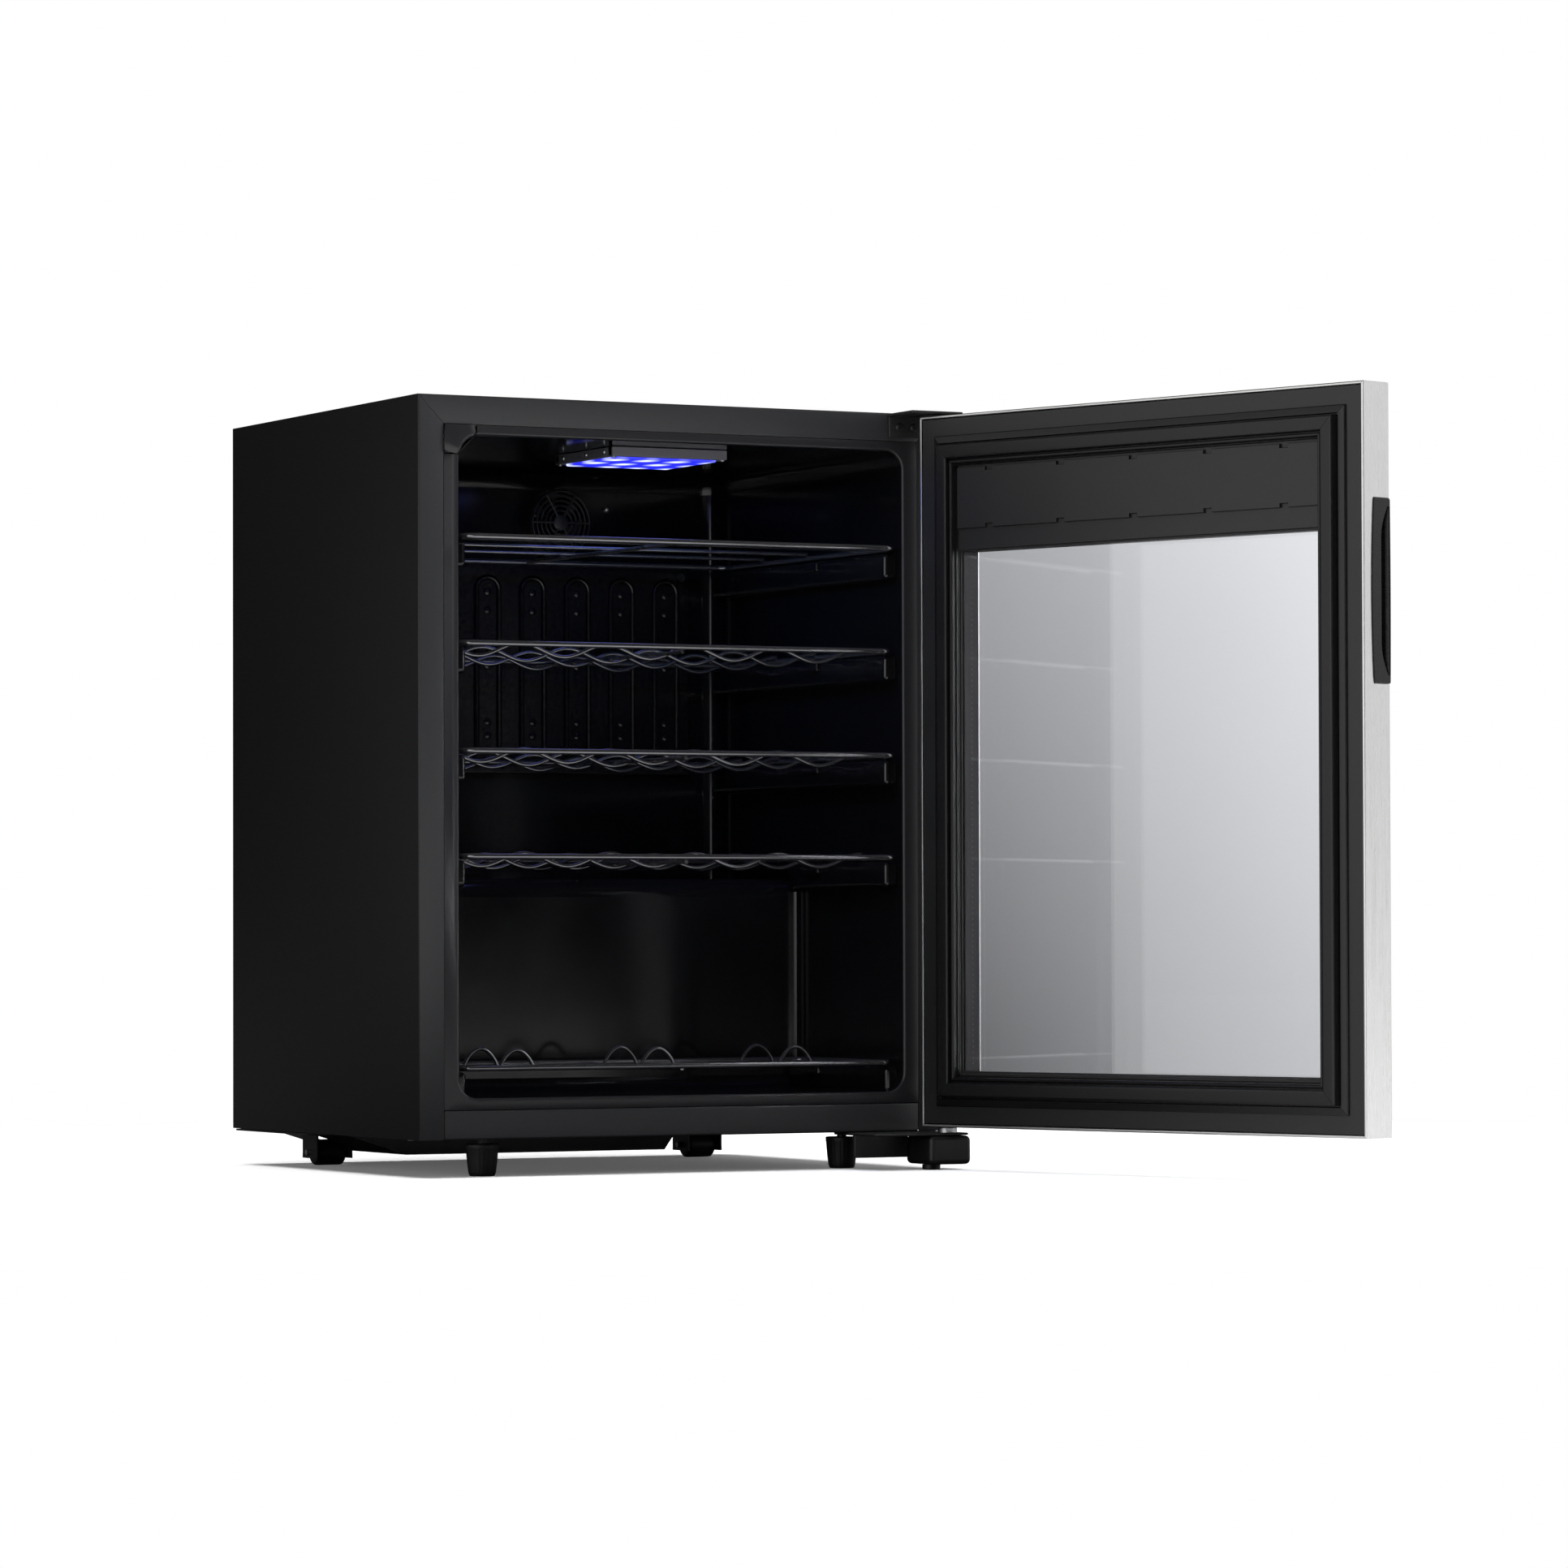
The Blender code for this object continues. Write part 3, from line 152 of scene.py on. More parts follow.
def weather(material, scale, roughness, tint=(0.9, 1.1), bump=0.0, depth=0.0001,
            stretch=(1, 1, 1), detail=3.0):
    """Vary a material's roughness, colour and relief with one grain."""
    tree = material.node_tree
    shader = tree.nodes["Principled BSDF"]
    value = grain(tree, scale, stretch, detail)
    colour = shader.inputs["Base Color"].default_value[:3]
    mix = add_node(tree, "ShaderNodeMix", data_type='RGBA', Factor=spread(tree, value, 0, 1),
                   A=(*[c * tint[0] for c in colour], 1),
                   B=(*[min(c * tint[1], 1) for c in colour], 1))
    fill(tree, shader.inputs["Roughness"], spread(tree, value, *roughness))
    fill(tree, shader.inputs["Base Color"], mix.outputs["Result"])
    if bump:
        relief = add_node(tree, "ShaderNodeBump", Strength=bump, Distance=depth, Height=value)
        fill(tree, shader.inputs["Normal"], relief.outputs["Normal"])
    return material


# %% [markdown]
# The finishes, one by one. The side panels are satin enamel with a barely visible orange
# peel. The tub is vacuum-formed and polished, so it is almost a mirror. The wires are
# plated and lacquered black. The door's rails are brushed along their length, which is
# why upright rails and level rails need two materials: the scratches turn with them.

# %% Paint, plastic and rubber
def finish(name, colour, roughness, scale, *variation, metallic=0.0, stretch=(1, 1, 1),
           detail=3.0, **sockets):
    """A weathered material; variation is its roughness range, tint, relief and depth."""
    material = new_material(name, colour, roughness, metallic, **sockets)
    return weather(material, scale, *variation, stretch=stretch, detail=detail)


enamel = finish("satin black enamel", (0.004, 0.004, 0.0045), 0.42, 900, (0.38, 0.46),
                (0.9, 1.1), 0.12, 0.0002, Specular_IOR_Level=0.35)
# Lighter than the enamel of the same sheet: painted light on the front-facing flanges and rail;
# its coarser grain is real.
flange_grain_and_painted_light = finish("textured black paint with painted front light", (0.0145, 0.0148, 0.0165), 0.4, 2600,
                      (0.36, 0.5), (0.75, 1.3), 0.25, 0.0001)
tub_plastic = finish("glossy black tub", (0.003, 0.003, 0.0036), 0.14, 14, (0.10, 0.15),
                     (0.9, 1.1), 0.02, 0.0008, Specular_IOR_Level=0.4)
lip_satin = finish("satin black lip", (0.009, 0.009, 0.0105), 0.36, 1500, (0.30, 0.42),
                   (0.85, 1.15), 0.15, 0.0001)
moulded = finish("grained black plastic", (0.007, 0.007, 0.0075), 0.4, 1800, (0.32, 0.46),
                 (0.8, 1.25), 0.35, 0.00012)
smooth_black = finish("smooth black plastic", (0.006, 0.006, 0.0065), 0.25, 700, (0.2, 0.3),
                      (0.9, 1.1), 0.05, 0.0001, Specular_IOR_Level=0.25)
rubber = finish("satin black rubber", (0.004, 0.004, 0.0045), 0.34, 420, (0.28, 0.42),
                (0.8, 1.3), 0.15, 0.0002, Specular_IOR_Level=0.38)
lamp_grey = finish("satin grey plastic", (0.14, 0.14, 0.155), 0.5, 1500, (0.42, 0.56),
                   (0.93, 1.07), 0.2, 0.0001)
foam_yellow = finish("insulating foam", (0.66, 0.56, 0.30), 0.9, 600, (0.8, 0.95),
                     (0.85, 1.1), 0.6, 0.0005)

# %% Metals
wire_black = finish("black plated wire", (0.17, 0.17, 0.18), 0.16, 900, (0.12, 0.24),
                    (0.8, 1.2), 0.06, 0.0001, metallic=0.9, Coat_Weight=0.6,
                    Coat_Roughness=0.06)
brushed_up = finish("stainless brushed upright", (0.70, 0.70, 0.70), 0.3, 900, (0.22, 0.40),
                    (0.94, 1.04), 0.10, 0.00005, metallic=1.0, stretch=(1, 1, 0.012),
                    detail=6)
brushed_level = finish("stainless brushed level", (0.74, 0.74, 0.73), 0.3, 900, (0.22, 0.40),
                       (0.94, 1.04), 0.10, 0.00005, metallic=1.0,
                       stretch=(0.012, 0.012, 1), detail=6)
zinc = finish("zinc plate", (0.58, 0.59, 0.60), 0.35, 160, (0.26, 0.46), (0.85, 1.08),
              0.08, 0.0002, metallic=1.0)
black_metal = finish("black steel bracket", (0.012, 0.012, 0.012), 0.38, 800, (0.3, 0.46),
                     (0.8, 1.3), 0.15, 0.0002)
plate_coat = finish("dark coated aluminium", (0.003, 0.003, 0.0035), 0.2, 260, (0.13, 0.26),
                    (0.8, 1.2), 0.18, 0.0004)
copper = finish("copper tube", (0.72, 0.36, 0.20), 0.3, 300, (0.2, 0.45), (0.7, 1.05),
                0.05, 0.0002, metallic=1.0)
shell_paint = finish("compressor paint", (0.014, 0.014, 0.014), 0.28, 350, (0.2, 0.34),
                     (0.8, 1.2), 0.3, 0.0004)
circuit_green = finish("solder mask", (0.015, 0.10, 0.05), 0.35, 1200, (0.25, 0.45),
                       (0.8, 1.2), 0.1, 0.0001)

# %% [markdown]
# Double glazing is two clear panes. Glass lets light straight through and only its faces
# reflect, so the material is pure transmission with a faint blue-grey tint. The frame
# covers the edges of the panes, where the tint would show most.

# %% Glass
pane_glass = new_material("clear pane", (0.915, 0.92, 0.935), 0.0, 0.0, Transmission_Weight=1.0,
                          IOR=1.5)
weather(pane_glass, 3.0, (0.0, 0.012), (0.985, 1.01))


# %% [markdown]
# ## Making shapes
# A few shapes come back all over a fridge: a block with rounded edges, sheet metal with a
# bend radius, a moulding that runs round a rectangle and meets itself in mitres, and a
# bent wire. Each gets a helper here. `settle` then gives a piece its finish, hands it to
# the body it moves with, and hides the plain node it stands for.

# %% Placing a finished piece
def settle(piece, place, material, body, slot, *stands_for):
    piece.matrix_world = place
    piece.data.materials.clear()
    piece.data.materials.append(material)
    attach(piece, body)
    if stands_for:
        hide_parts(*stands_for)
    return piece


def case_piece(piece, material, slot, *stands_for):
    return settle(piece, CASE_PLACE, material, "case", slot, *stands_for)


def door_piece(piece, material, slot, *stands_for):
    return settle(piece, DOOR_PLACE, material, "door", slot, *stands_for)


def link(name, data):
    piece = bpy.data.objects.new(name, data)
    bpy.context.scene.collection.objects.link(piece)
    return piece


def even(piece):
    """Let big flat faces keep flat shading beside their rounded edges."""
    piece.modifiers.new("even shading", 'WEIGHTED_NORMAL').keep_sharp = True
    return piece


def from_bmesh(name, bm, smooth_angle=40):
    bmesh.ops.recalc_face_normals(bm, faces=bm.faces)
    mesh = bpy.data.meshes.new(name)
    bm.to_mesh(mesh)
    bm.free()
    mesh.shade_smooth()
    mesh.set_sharp_from_angle(angle=math.radians(smooth_angle))
    return even(link(name, mesh))


# %% Blocks with rounded edges
def add_block(bm, low, high, radius=0.0, segments=3):
    low, high = Vector(low), Vector(high)
    size = Matrix.Diagonal((*(high - low), 1))
    made = bmesh.ops.create_cube(bm, size=1.0,
                                 matrix=Matrix.Translation((low + high) / 2) @ size)
    if radius:
        edges = list({edge for vert in made["verts"] for edge in vert.link_edges})
        bmesh.ops.bevel(bm, geom=edges, offset=radius, segments=segments, profile=0.5,
                        affect='EDGES')


def blocks(name, *sizes, radius=0.0, segments=3):
    bm = bmesh.new()
    for low, high in sizes:
        add_block(bm, low, high, radius, segments)
    return from_bmesh(name, bm)


# %% Turned pieces
def turned(name, profile, centre, axis='Z', steps=48):
    """Spin a (radius, height) line round an axis; a line that leaves the axis closes."""
    bm = bmesh.new()
    closed = min(radius for radius, height in profile) > 0
    ring = [bm.verts.new((radius, 0, height)) for radius, height in profile]
    pairs = list(zip(ring, ring[1:])) + ([(ring[-1], ring[0])] if closed else [])
    edges = [bm.edges.new(pair) for pair in pairs]
    bmesh.ops.spin(bm, geom=ring + edges, cent=(0, 0, 0), axis=(0, 0, 1), dvec=(0, 0, 0),
                   angle=2 * math.pi, steps=steps, use_merge=True)
    bmesh.ops.remove_doubles(bm, verts=bm.verts, dist=1e-6)
    lie = {'X': Matrix.Rotation(math.pi / 2, 4, 'Y'), 'Z': Matrix.Identity(4),
           'Y': Matrix.Rotation(-math.pi / 2, 4, 'X')}[axis]
    bm.transform(Matrix.Translation(centre) @ lie)
    return from_bmesh(name, bm)


# %% Bent wire
def wires(name, runs, radius, closed=False, roundness=5):
    """Round wire along one or more runs of points, swept as a curve, then made a mesh."""
    curve = bpy.data.curves.new(name, 'CURVE')
    curve.dimensions = '3D'
    curve.bevel_depth = radius
    curve.bevel_resolution = roundness
    curve.use_fill_caps = True
    for run in runs:
        spline = curve.splines.new('POLY')
        spline.points.add(len(run) - 1)
        for point, place in zip(spline.points, run):
            point.co = (*place, 1)
        spline.use_cyclic_u = closed
    drawn = link(name + "_line", curve)
    bpy.context.view_layer.update()
    mesh = bpy.data.meshes.new_from_object(drawn)
    bpy.data.objects.remove(drawn)
    mesh.name = name
    mesh.shade_smooth()
    mesh.set_sharp_from_angle(angle=math.radians(50))
    return link(name, mesh)


def arc(centre, radius, start, end, steps):
    """Points on an arc, in degrees, in a plane of two coordinates."""
    turns = [math.radians(start + (end - start) * k / steps) for k in range(steps + 1)]
    return [(centre[0] + radius * math.cos(t), centre[1] + radius * math.sin(t))
            for t in turns]


# %% Mouldings round a rectangle
def frame_runs(name, section, low, high, sides=(0, 1, 2, 3), slip=0.00012):
    """Lengths of one section, mitred and all but touching, round a rectangle.

    section lists (inset, y) points round the moulding; low and high are (x, z) corners;
    sides picks bottom 0, right 1, top 2 and left 3.
    """
    corners = [(low[0], low[1], 1, 1), (high[0], low[1], -1, 1),
               (high[0], high[1], -1, -1), (low[0], high[1], 1, -1)]
    bm = bmesh.new()
    for index in sides:
        ends = (corners[index], corners[(index + 1) % 4])
        along = Vector((ends[1][0] - ends[0][0], 0, ends[1][1] - ends[0][1])).normalized()
        rings = []
        for (x, z, inward_x, inward_z), shift in zip(ends, (slip, -slip)):
            rings.append([bm.verts.new(Vector((x + inset * inward_x, y, z + inset * inward_z))
                                       + along * shift) for inset, y in section])
        count = len(section)
        for k in range(count):
            after = (k + 1) % count
            bm.faces.new((rings[0][k], rings[0][after], rings[1][after], rings[1][k]))
        bm.faces.new(rings[0])
        bm.faces.new(rings[1])
    return from_bmesh(name, bm, 30)


# %% [markdown]
# ## Camera, light and floor
# The camera stands low, a good five metres away, to the left of the case, with a long
# lens, which keeps the case's upright edges almost parallel. It is set from the case's
# own front corner so that it follows the frame. The view is kept neutral: what is white
# on the floor should come out white.

# %% Camera
CAMERA_FROM_FRONT = Vector((-2.2764, -4.5131, 0.1966))
CAMERA_YAW, CAMERA_PITCH, CAMERA_ROLL = 27.683, 1.391, -0.155
LENS_MM, SENSOR_MM = 141.28, 36.0

camera_data = bpy.data.cameras.new("studio camera")
camera_data.lens = LENS_MM
camera_data.sensor_width = SENSOR_MM
camera_data.clip_end = 60
camera = link("studio camera", camera_data)
camera.matrix_world = (CASE_PLACE @ Matrix.Translation(CAMERA_FROM_FRONT)
                       @ Matrix.Rotation(-math.radians(CAMERA_YAW), 4, 'Z')
                       @ Matrix.Rotation(math.radians(90 + CAMERA_PITCH), 4, 'X')
                       @ Matrix.Rotation(math.radians(CAMERA_ROLL), 4, 'Z'))
scene = bpy.context.scene
scene.camera = camera
scene.view_settings.view_transform = 'Standard'

# %% Floor
floor_mesh = bmesh.new()
bmesh.ops.create_grid(floor_mesh, x_segments=1, y_segments=1, size=14)
floor = from_bmesh("floor", floor_mesh)
floor_white = weather(new_material("white floor", (0.92, 0.92, 0.92), 1.0,
                                   Specular_IOR_Level=0.0, Emission_Strength=0.09,
                                   Emission_Color=(1, 1, 1, 1)),
                      2.0, (0.95, 1.0), (0.99, 1.0))
tree = floor_white.node_tree
place = add_node(tree, "ShaderNodeTexCoord").outputs["Object"]
distance = add_node(tree, "ShaderNodeVectorMath", place, operation='LENGTH').outputs["Value"]
far_white = add_node(tree, "ShaderNodeEmission", Color=(1, 1, 1, 1), Strength=1.0)
sweep = add_node(tree, "ShaderNodeMixShader", spread(tree, distance, 0, 1, 0.75, 1.5),
                 tree.nodes["Principled BSDF"].outputs["BSDF"], far_white.outputs["Emission"])
apart = add_node(tree, "ShaderNodeSeparateXYZ", place)
dim = add_node(tree, "ShaderNodeBsdfDiffuse",
               Color=spread(tree, apart.outputs["Y"], 0.7, 0.05, -0.55, -0.12))
outward = add_node(tree, "ShaderNodeVectorMath", place, operation='NORMALIZE')
leftward = add_node(tree, "ShaderNodeVectorMath", outward.outputs["Vector"],
                    (-0.978, 0.208, 0), operation='DOT_PRODUCT')
below_card = add_node(tree, "ShaderNodeMath",
                      spread(tree, leftward.outputs["Value"], 0, 1.05, 0.82, 0.955),
                      spread(tree, distance, 0, 1, 1.0, 2.6), operation='MULTIPLY')
card_foot = add_node(tree, "ShaderNodeEmission", Color=(1, 1, 1, 1),
                     Strength=below_card.outputs["Value"])
other_rays = add_node(tree, "ShaderNodeAddShader", dim.outputs["BSDF"],
                      card_foot.outputs["Emission"])
floor_ray = add_node(tree, "ShaderNodeLightPath")
floor_choice = add_node(tree, "ShaderNodeMixShader", floor_ray.outputs["Is Camera Ray"],
                        other_rays.outputs["Shader"], sweep.outputs["Shader"])
fill(tree, tree.nodes["Material Output"].inputs["Surface"], floor_choice.outputs["Shader"])
floor.data.materials.append(floor_white)

# %% [markdown]
# The room is a light tent that the lens sees as plain white, but black gloss only looks
# black when most of what it mirrors is dark. So the tent is three bright cards, one far to
# the right and two to the left, with darkness between them and behind. The world
# shader shows white to the lens, and only the cards to everything that reflects.

# %% World
world = bpy.data.worlds.new("light tent")
scene.world = world
world.use_nodes = True
tree = world.node_tree
tree.nodes.clear()
direction = add_node(tree, "ShaderNodeTexCoord")


def card(toward, edge, full, strength):
    """A soft bright card in one direction of the world."""
    dot = add_node(tree, "ShaderNodeVectorMath", direction.outputs["Generated"],
                   Vector(toward).normalized(), operation='DOT_PRODUCT')
    return spread(tree, dot.outputs["Value"], 0, strength, edge, full)


light_cards = card((0.98, -0.17, 0.10), 0.66, 0.94, 1.0)
for left_card in (((-0.978, 0.208, 0.05), 0.82, 0.955, 1.05),
                  ((-0.88, -0.46, 0.12), 0.90, 0.97, 1.9)):
    light_cards = add_node(tree, "ShaderNodeMath", light_cards, card(*left_card),
                           operation='ADD').outputs["Value"]
card_light = add_node(tree, "ShaderNodeBackground", Color=(1, 1, 1, 1), Strength=light_cards)
seen_light = add_node(tree, "ShaderNodeBackground", Color=(1, 1, 1, 1), Strength=1.0)
ray = add_node(tree, "ShaderNodeLightPath")
through = add_node(tree, "ShaderNodeMath", ray.outputs["Is Camera Ray"],
                   ray.outputs["Is Transmission Ray"], operation='MAXIMUM')
choose = add_node(tree, "ShaderNodeMixShader", through.outputs["Value"],
                  card_light.outputs["Background"], seen_light.outputs["Background"])
add_node(tree, "ShaderNodeOutputWorld", Surface=choose.outputs["Shader"])

# %% [markdown]
# Clear glass in front of pure white is invisible, so a grey card stands behind the open
# door, seen only through the glass. It runs from mid grey at the lower left to nearly
# white at the upper right, which is what gives the panes their body.

# %% Card behind the glass
bm = bmesh.new()
card_corners = [(-0.2, 0.0), (3.2, 0.0), (3.2, 2.4), (-0.2, 2.4)]
bm.faces.new([bm.verts.new((x, 1.2, z)) for x, z in card_corners])
glass_card = from_bmesh("card_behind_glass", bm)
glass_card.matrix_world = CASE_PLACE
card_grey = bpy.data.materials.new("graded card")
card_grey.use_nodes = True
tree = card_grey.node_tree
tree.nodes.clear()
place = add_node(tree, "ShaderNodeTexCoord").outputs["Object"]
slope = add_node(tree, "ShaderNodeVectorMath", place, (1.15, 0.0, 0.83),
                 operation='DOT_PRODUCT')
glow = add_node(tree, "ShaderNodeEmission", Color=(0.985, 0.99, 1.0, 1),
                Strength=spread(tree, slope.outputs["Value"], 0.17, 0.92, 1.10, 2.12))
add_node(tree, "ShaderNodeOutputMaterial", Surface=glow.outputs["Emission"])
glass_card.data.materials.append(card_grey)
for ray_kind in ("camera", "glossy", "diffuse", "shadow"):
    setattr(glass_card, "visible_" + ray_kind, False)


# %% Softboxes
def softbox(name, place, target, size, power):
    """A rectangular lamp aimed at a spot; it lights things but is not mirrored."""
    light_data = bpy.data.lights.new(name, 'AREA')
    light_data.shape = 'RECTANGLE'
    light_data.size, light_data.size_y = size
    light_data.energy = power
    light = link(name, light_data)
    place = CASE_PLACE @ Vector(place)
    aim = (CASE_PLACE @ Vector(target) - place).to_track_quat('-Z', 'Y')
    light.matrix_world = Matrix.Translation(place) @ aim.to_matrix().to_4x4()
    light.visible_glossy = False
    return light


softbox("overhead softbox", (0.1, -0.4, 3.2), (0.1, -0.2, 0.0), (5.0, 5.0), 330)
softbox("right softbox", (3.4, -2.2, 1.2), (0.3, -0.4, 0.35), (1.6, 2.2), 45)
softbox("front softbox", (-0.6, -4.2, 2.2), (0.0, 0.0, 0.3), (2.4, 1.6), 30)


# %% [markdown]
# ## The folded case
# The sides and top are pressed from thin sheet. On a real press the bend never comes out
# sharp: it has an outside radius of about a millimetre and a half, and that radius is
# what draws the thin bright line down the front corner. The strip below is laid along a
# path with arcs in its corners, then given its thickness with Solidify. At the top the
# front flange is cut at an angle, so that sides and top meet in a mitre.

# %% Bent sheet helper
BEND = 0.0016


def bent_line(points, radius=BEND, steps=5):
    """Round the inner corners of a right-angled line of (a, b) points."""
    line = [points[0]]
    for before, corner, after in zip(points, points[1:], points[2:]):
        to_before = (Vector(before) - Vector(corner)).normalized() * radius
        to_after = (Vector(after) - Vector(corner)).normalized() * radius
        centre = Vector(corner) + to_before + to_after
        for step in range(steps + 1):
            turn = math.pi / 2 * step / steps
            line.append(centre - to_after * math.cos(turn) - to_before * math.sin(turn))
    return line + [points[-1]]


def sheet_strip(name, line, axis, ends, thickness=0.001):
    """A strip along a bent line; ends(a, b) gives where it starts and stops along axis."""
    order = {'X': (1, 2, 0), 'Z': (0, 1, 2)}[axis]
    bm = bmesh.new()
    rows = []
    for a, b in line:
        row = []
        for along in ends(a, b):
            place = [0, 0, 0]
            place[order[0]], place[order[1]], place[order[2]] = a, b, along
            row.append(bm.verts.new(place))
        rows.append(row)
    for first, second in zip(rows, rows[1:]):
        bm.faces.new((first[0], second[0], second[1], first[1]))
    mesh = bpy.data.meshes.new(name)
    bm.to_mesh(mesh)
    bm.free()
    mesh.shade_smooth()
    piece = link(name, mesh)
    wall = piece.modifiers.new("sheet", 'SOLIDIFY')
    wall.thickness = thickness
    wall.offset = -1
    edge = piece.modifiers.new("broken edge", 'BEVEL')
    edge.width = 0.0003
    edge.segments = 2
    edge.limit_method = 'ANGLE'
    edge.angle_limit = math.radians(60)
    return piece


# %% Side panels and top
top_low, top_high = case_box("top_panel")
rail_low, rail_high = case_box("bottom_front_rail")
SIDE_FLANGE = left_high.x - left_low.x
TOP_FLANGE = top_high.z - top_low.z
REAR_FLANGE = 0.015


def side_line(side):
    """Rear flange, side and front flange of a side panel, seen from above."""
    line = [(side * (HALF_W - REAR_FLANGE), DEPTH), (side * HALF_W, DEPTH),
            (side * HALF_W, 0), (side * (HALF_W - SIDE_FLANGE), 0)]
    return bent_line(line if side < 0 else line[::-1])


def side_ends(x, y):
    inward = HALF_W - abs(x)
    if y < BEND + 1e-6:
        return CASE_LOW, CASE_TOP - inward * TOP_FLANGE / SIDE_FLANGE
    if y > DEPTH - BEND - 1e-6:
        return CASE_LOW, CASE_TOP - inward
    return CASE_LOW, CASE_TOP


def paint_flange(panel):
    """The front flange is dusted with a coarser coat than the sides, and given a lighter colour:
    painted light for the light falling on it from the front.
    """
    panel.data.materials.append(flange_grain_and_painted_light)
    for face in panel.data.polygons:
        face.material_index = int(abs(face.normal.y) > 0.8 and face.center.y < 0.01)


for side, node in ((-1, "left_side_panel"), (1, "right_side_panel")):
    panel = sheet_strip(node + "_sheet", side_line(side), 'Z', side_ends)
    case_piece(panel, enamel, "painted_steel", node)
    paint_flange(panel)

top_line = bent_line([(DEPTH, CASE_TOP - REAR_FLANGE), (DEPTH, CASE_TOP), (0, CASE_TOP),
                      (0, CASE_TOP - TOP_FLANGE)])
TOP_SEAM = 0.0003


def top_ends(y, z):
    drop = CASE_TOP - z
    if y < BEND + 1e-6:
        half = HALF_W - TOP_SEAM - drop * SIDE_FLANGE / TOP_FLANGE
    else:
        half = HALF_W - 0.0013 - (drop if y > DEPTH - BEND - 1e-6 else 0)
    half = min(half, HALF_W - 0.0013)
    return -half, half


top_sheet = sheet_strip("top_panel_sheet", top_line, 'X', top_ends)
case_piece(top_sheet, enamel, "painted_steel", "top_panel")
paint_flange(top_sheet)

rail_line = bent_line([(0.014, rail_high.z), (0, rail_high.z), (0, CASE_LOW),
                       (0.014, CASE_LOW)])
# The front rail takes the flange paint, lightened as painted front light.
case_piece(sheet_strip("front_rail_sheet", rail_line, 'X',
                       lambda y, z: (rail_low.x, rail_high.x)),
           flange_grain_and_painted_light, "painted_steel", "bottom_front_rail")

# %% [markdown]
# The tub is vacuum-formed in one piece, and a formed sheet cannot hold a sharp corner:
# every inside corner is a generous cove, which on gloss plastic catches a long soft
# highlight. The profile is drawn from the side, pushed across, and its edges are bevelled
# into coves. A flat lip then turns out to the flanges.

# %% Moulded tub
liner_low, liner_high = case_box("inner_liner")
WALL = 0.002
CAVITY_X = liner_high.x - 0.0135
CAVITY_LOW, CAVITY_TOP = 0.0642, 0.600
CAVITY_REAR = liner_high.y - WALL
HUMP_FRONT, HUMP_TOP = 0.190, 0.2436
COVE = 0.016
print("tub", liner_low, liner_high)


def roll_mouth(bm, rim):
    """Roll the tub's mouth outwards over a small radius, then run a flat lip out."""
    MOUTH_R, STEPS = 0.0022, 5
    state = {}
    for vert in {vert for edge in rim for vert in edge.verts}:
        edge_point = vert.co.copy()
        vert.co.y = MOUTH_R
        state[tuple(round(c, 6) for c in vert.co)] = (edge_point, lip_corner(edge_point))
    for step in range(1, STEPS + 2):
        turn = math.pi / 2 * min(step, STEPS) / STEPS
        made = bmesh.ops.extrude_edge_only(bm, edges=rim)["geom"]
        rim = [item for item in made if isinstance(item, bmesh.types.BMEdge)]
        after = {}
        for vert in (item for item in made if isinstance(item, bmesh.types.BMVert)):
            edge_point, corner = state[tuple(round(c, 6) for c in vert.co)]
            outward = (corner - edge_point).normalized()
            if step > STEPS:
                vert.co = corner
            else:
                vert.co = edge_point + outward * MOUTH_R * (1 - math.cos(turn))
                vert.co.y = MOUTH_R * (1 - math.sin(turn))
            after[tuple(round(c, 6) for c in vert.co)] = (edge_point, corner)
        state = after


def tub_shell():
    profile = [(0, CAVITY_LOW), (CAVITY_REAR, CAVITY_LOW), (CAVITY_REAR, CAVITY_TOP),
               (0, CAVITY_TOP)]
    bm = bmesh.new()
    sides = [[bm.verts.new((x, y, z)) for y, z in profile] for x in (-CAVITY_X, CAVITY_X)]
    for k in range(len(profile) - 1):
        bm.faces.new((sides[0][k], sides[0][k + 1], sides[1][k + 1], sides[1][k]))
    for side in sides:
        bm.faces.new(side)
    corners = [edge for edge in bm.edges if len(edge.link_faces) == 2]
    bmesh.ops.bevel(bm, geom=corners, offset=COVE, segments=9, profile=0.5, affect='EDGES')
    roll_mouth(bm, [edge for edge in bm.edges if len(edge.link_faces) == 1])
    bmesh.ops.recalc_face_normals(bm, faces=bm.faces)
    rear = max(bm.faces, key=lambda face: face.calc_center_median().y)
    if rear.normal.y > 0:
        bmesh.ops.reverse_faces(bm, faces=bm.faces)
    mesh = bpy.data.meshes.new("moulded_tub")
    bm.to_mesh(mesh)
    bm.free()
    mesh.shade_smooth()
    mesh.set_sharp_from_angle(angle=math.radians(35))
    tub = link("moulded_tub", mesh)
    wall = tub.modifiers.new("wall", 'SOLIDIFY')
    wall.thickness = WALL - 0.0002
    wall.offset = -1
    return even(tub)


def lip_corner(point):
    """Push a point of the round mouth out to the lip's square outer edge."""
    upper = point.z > (CAVITY_LOW + CAVITY_TOP) / 2
    lip_x = liner_high.x - CAVITY_X
    lip_z = liner_high.z - CAVITY_TOP if upper else CAVITY_LOW - rail_high.z - 0.0003
    middle_z = CAVITY_TOP - COVE if upper else CAVITY_LOW + COVE
    across = max(abs(point.x) - CAVITY_X + COVE, 0) / COVE
    up = max((point.z - middle_z) * (1 if upper else -1), 0) / COVE
    stretch = min([(COVE + lip) / share for lip, share in ((lip_x, across), (lip_z, up))
                   if share > 1e-6])
    x = math.copysign(CAVITY_X - COVE + across * stretch, point.x) if across > 1e-6 else point.x
    z = middle_z + up * stretch * (1 if upper else -1) if up > 1e-6 else point.z
    return Vector((x, 0, z))


tub = settle(tub_shell(), CASE_PLACE, tub_plastic, "case", "liner", "inner_liner")
tub.data.materials.append(lip_satin)
for face in tub.data.polygons:
    face.material_index = int(face.center.y < 0.0021)

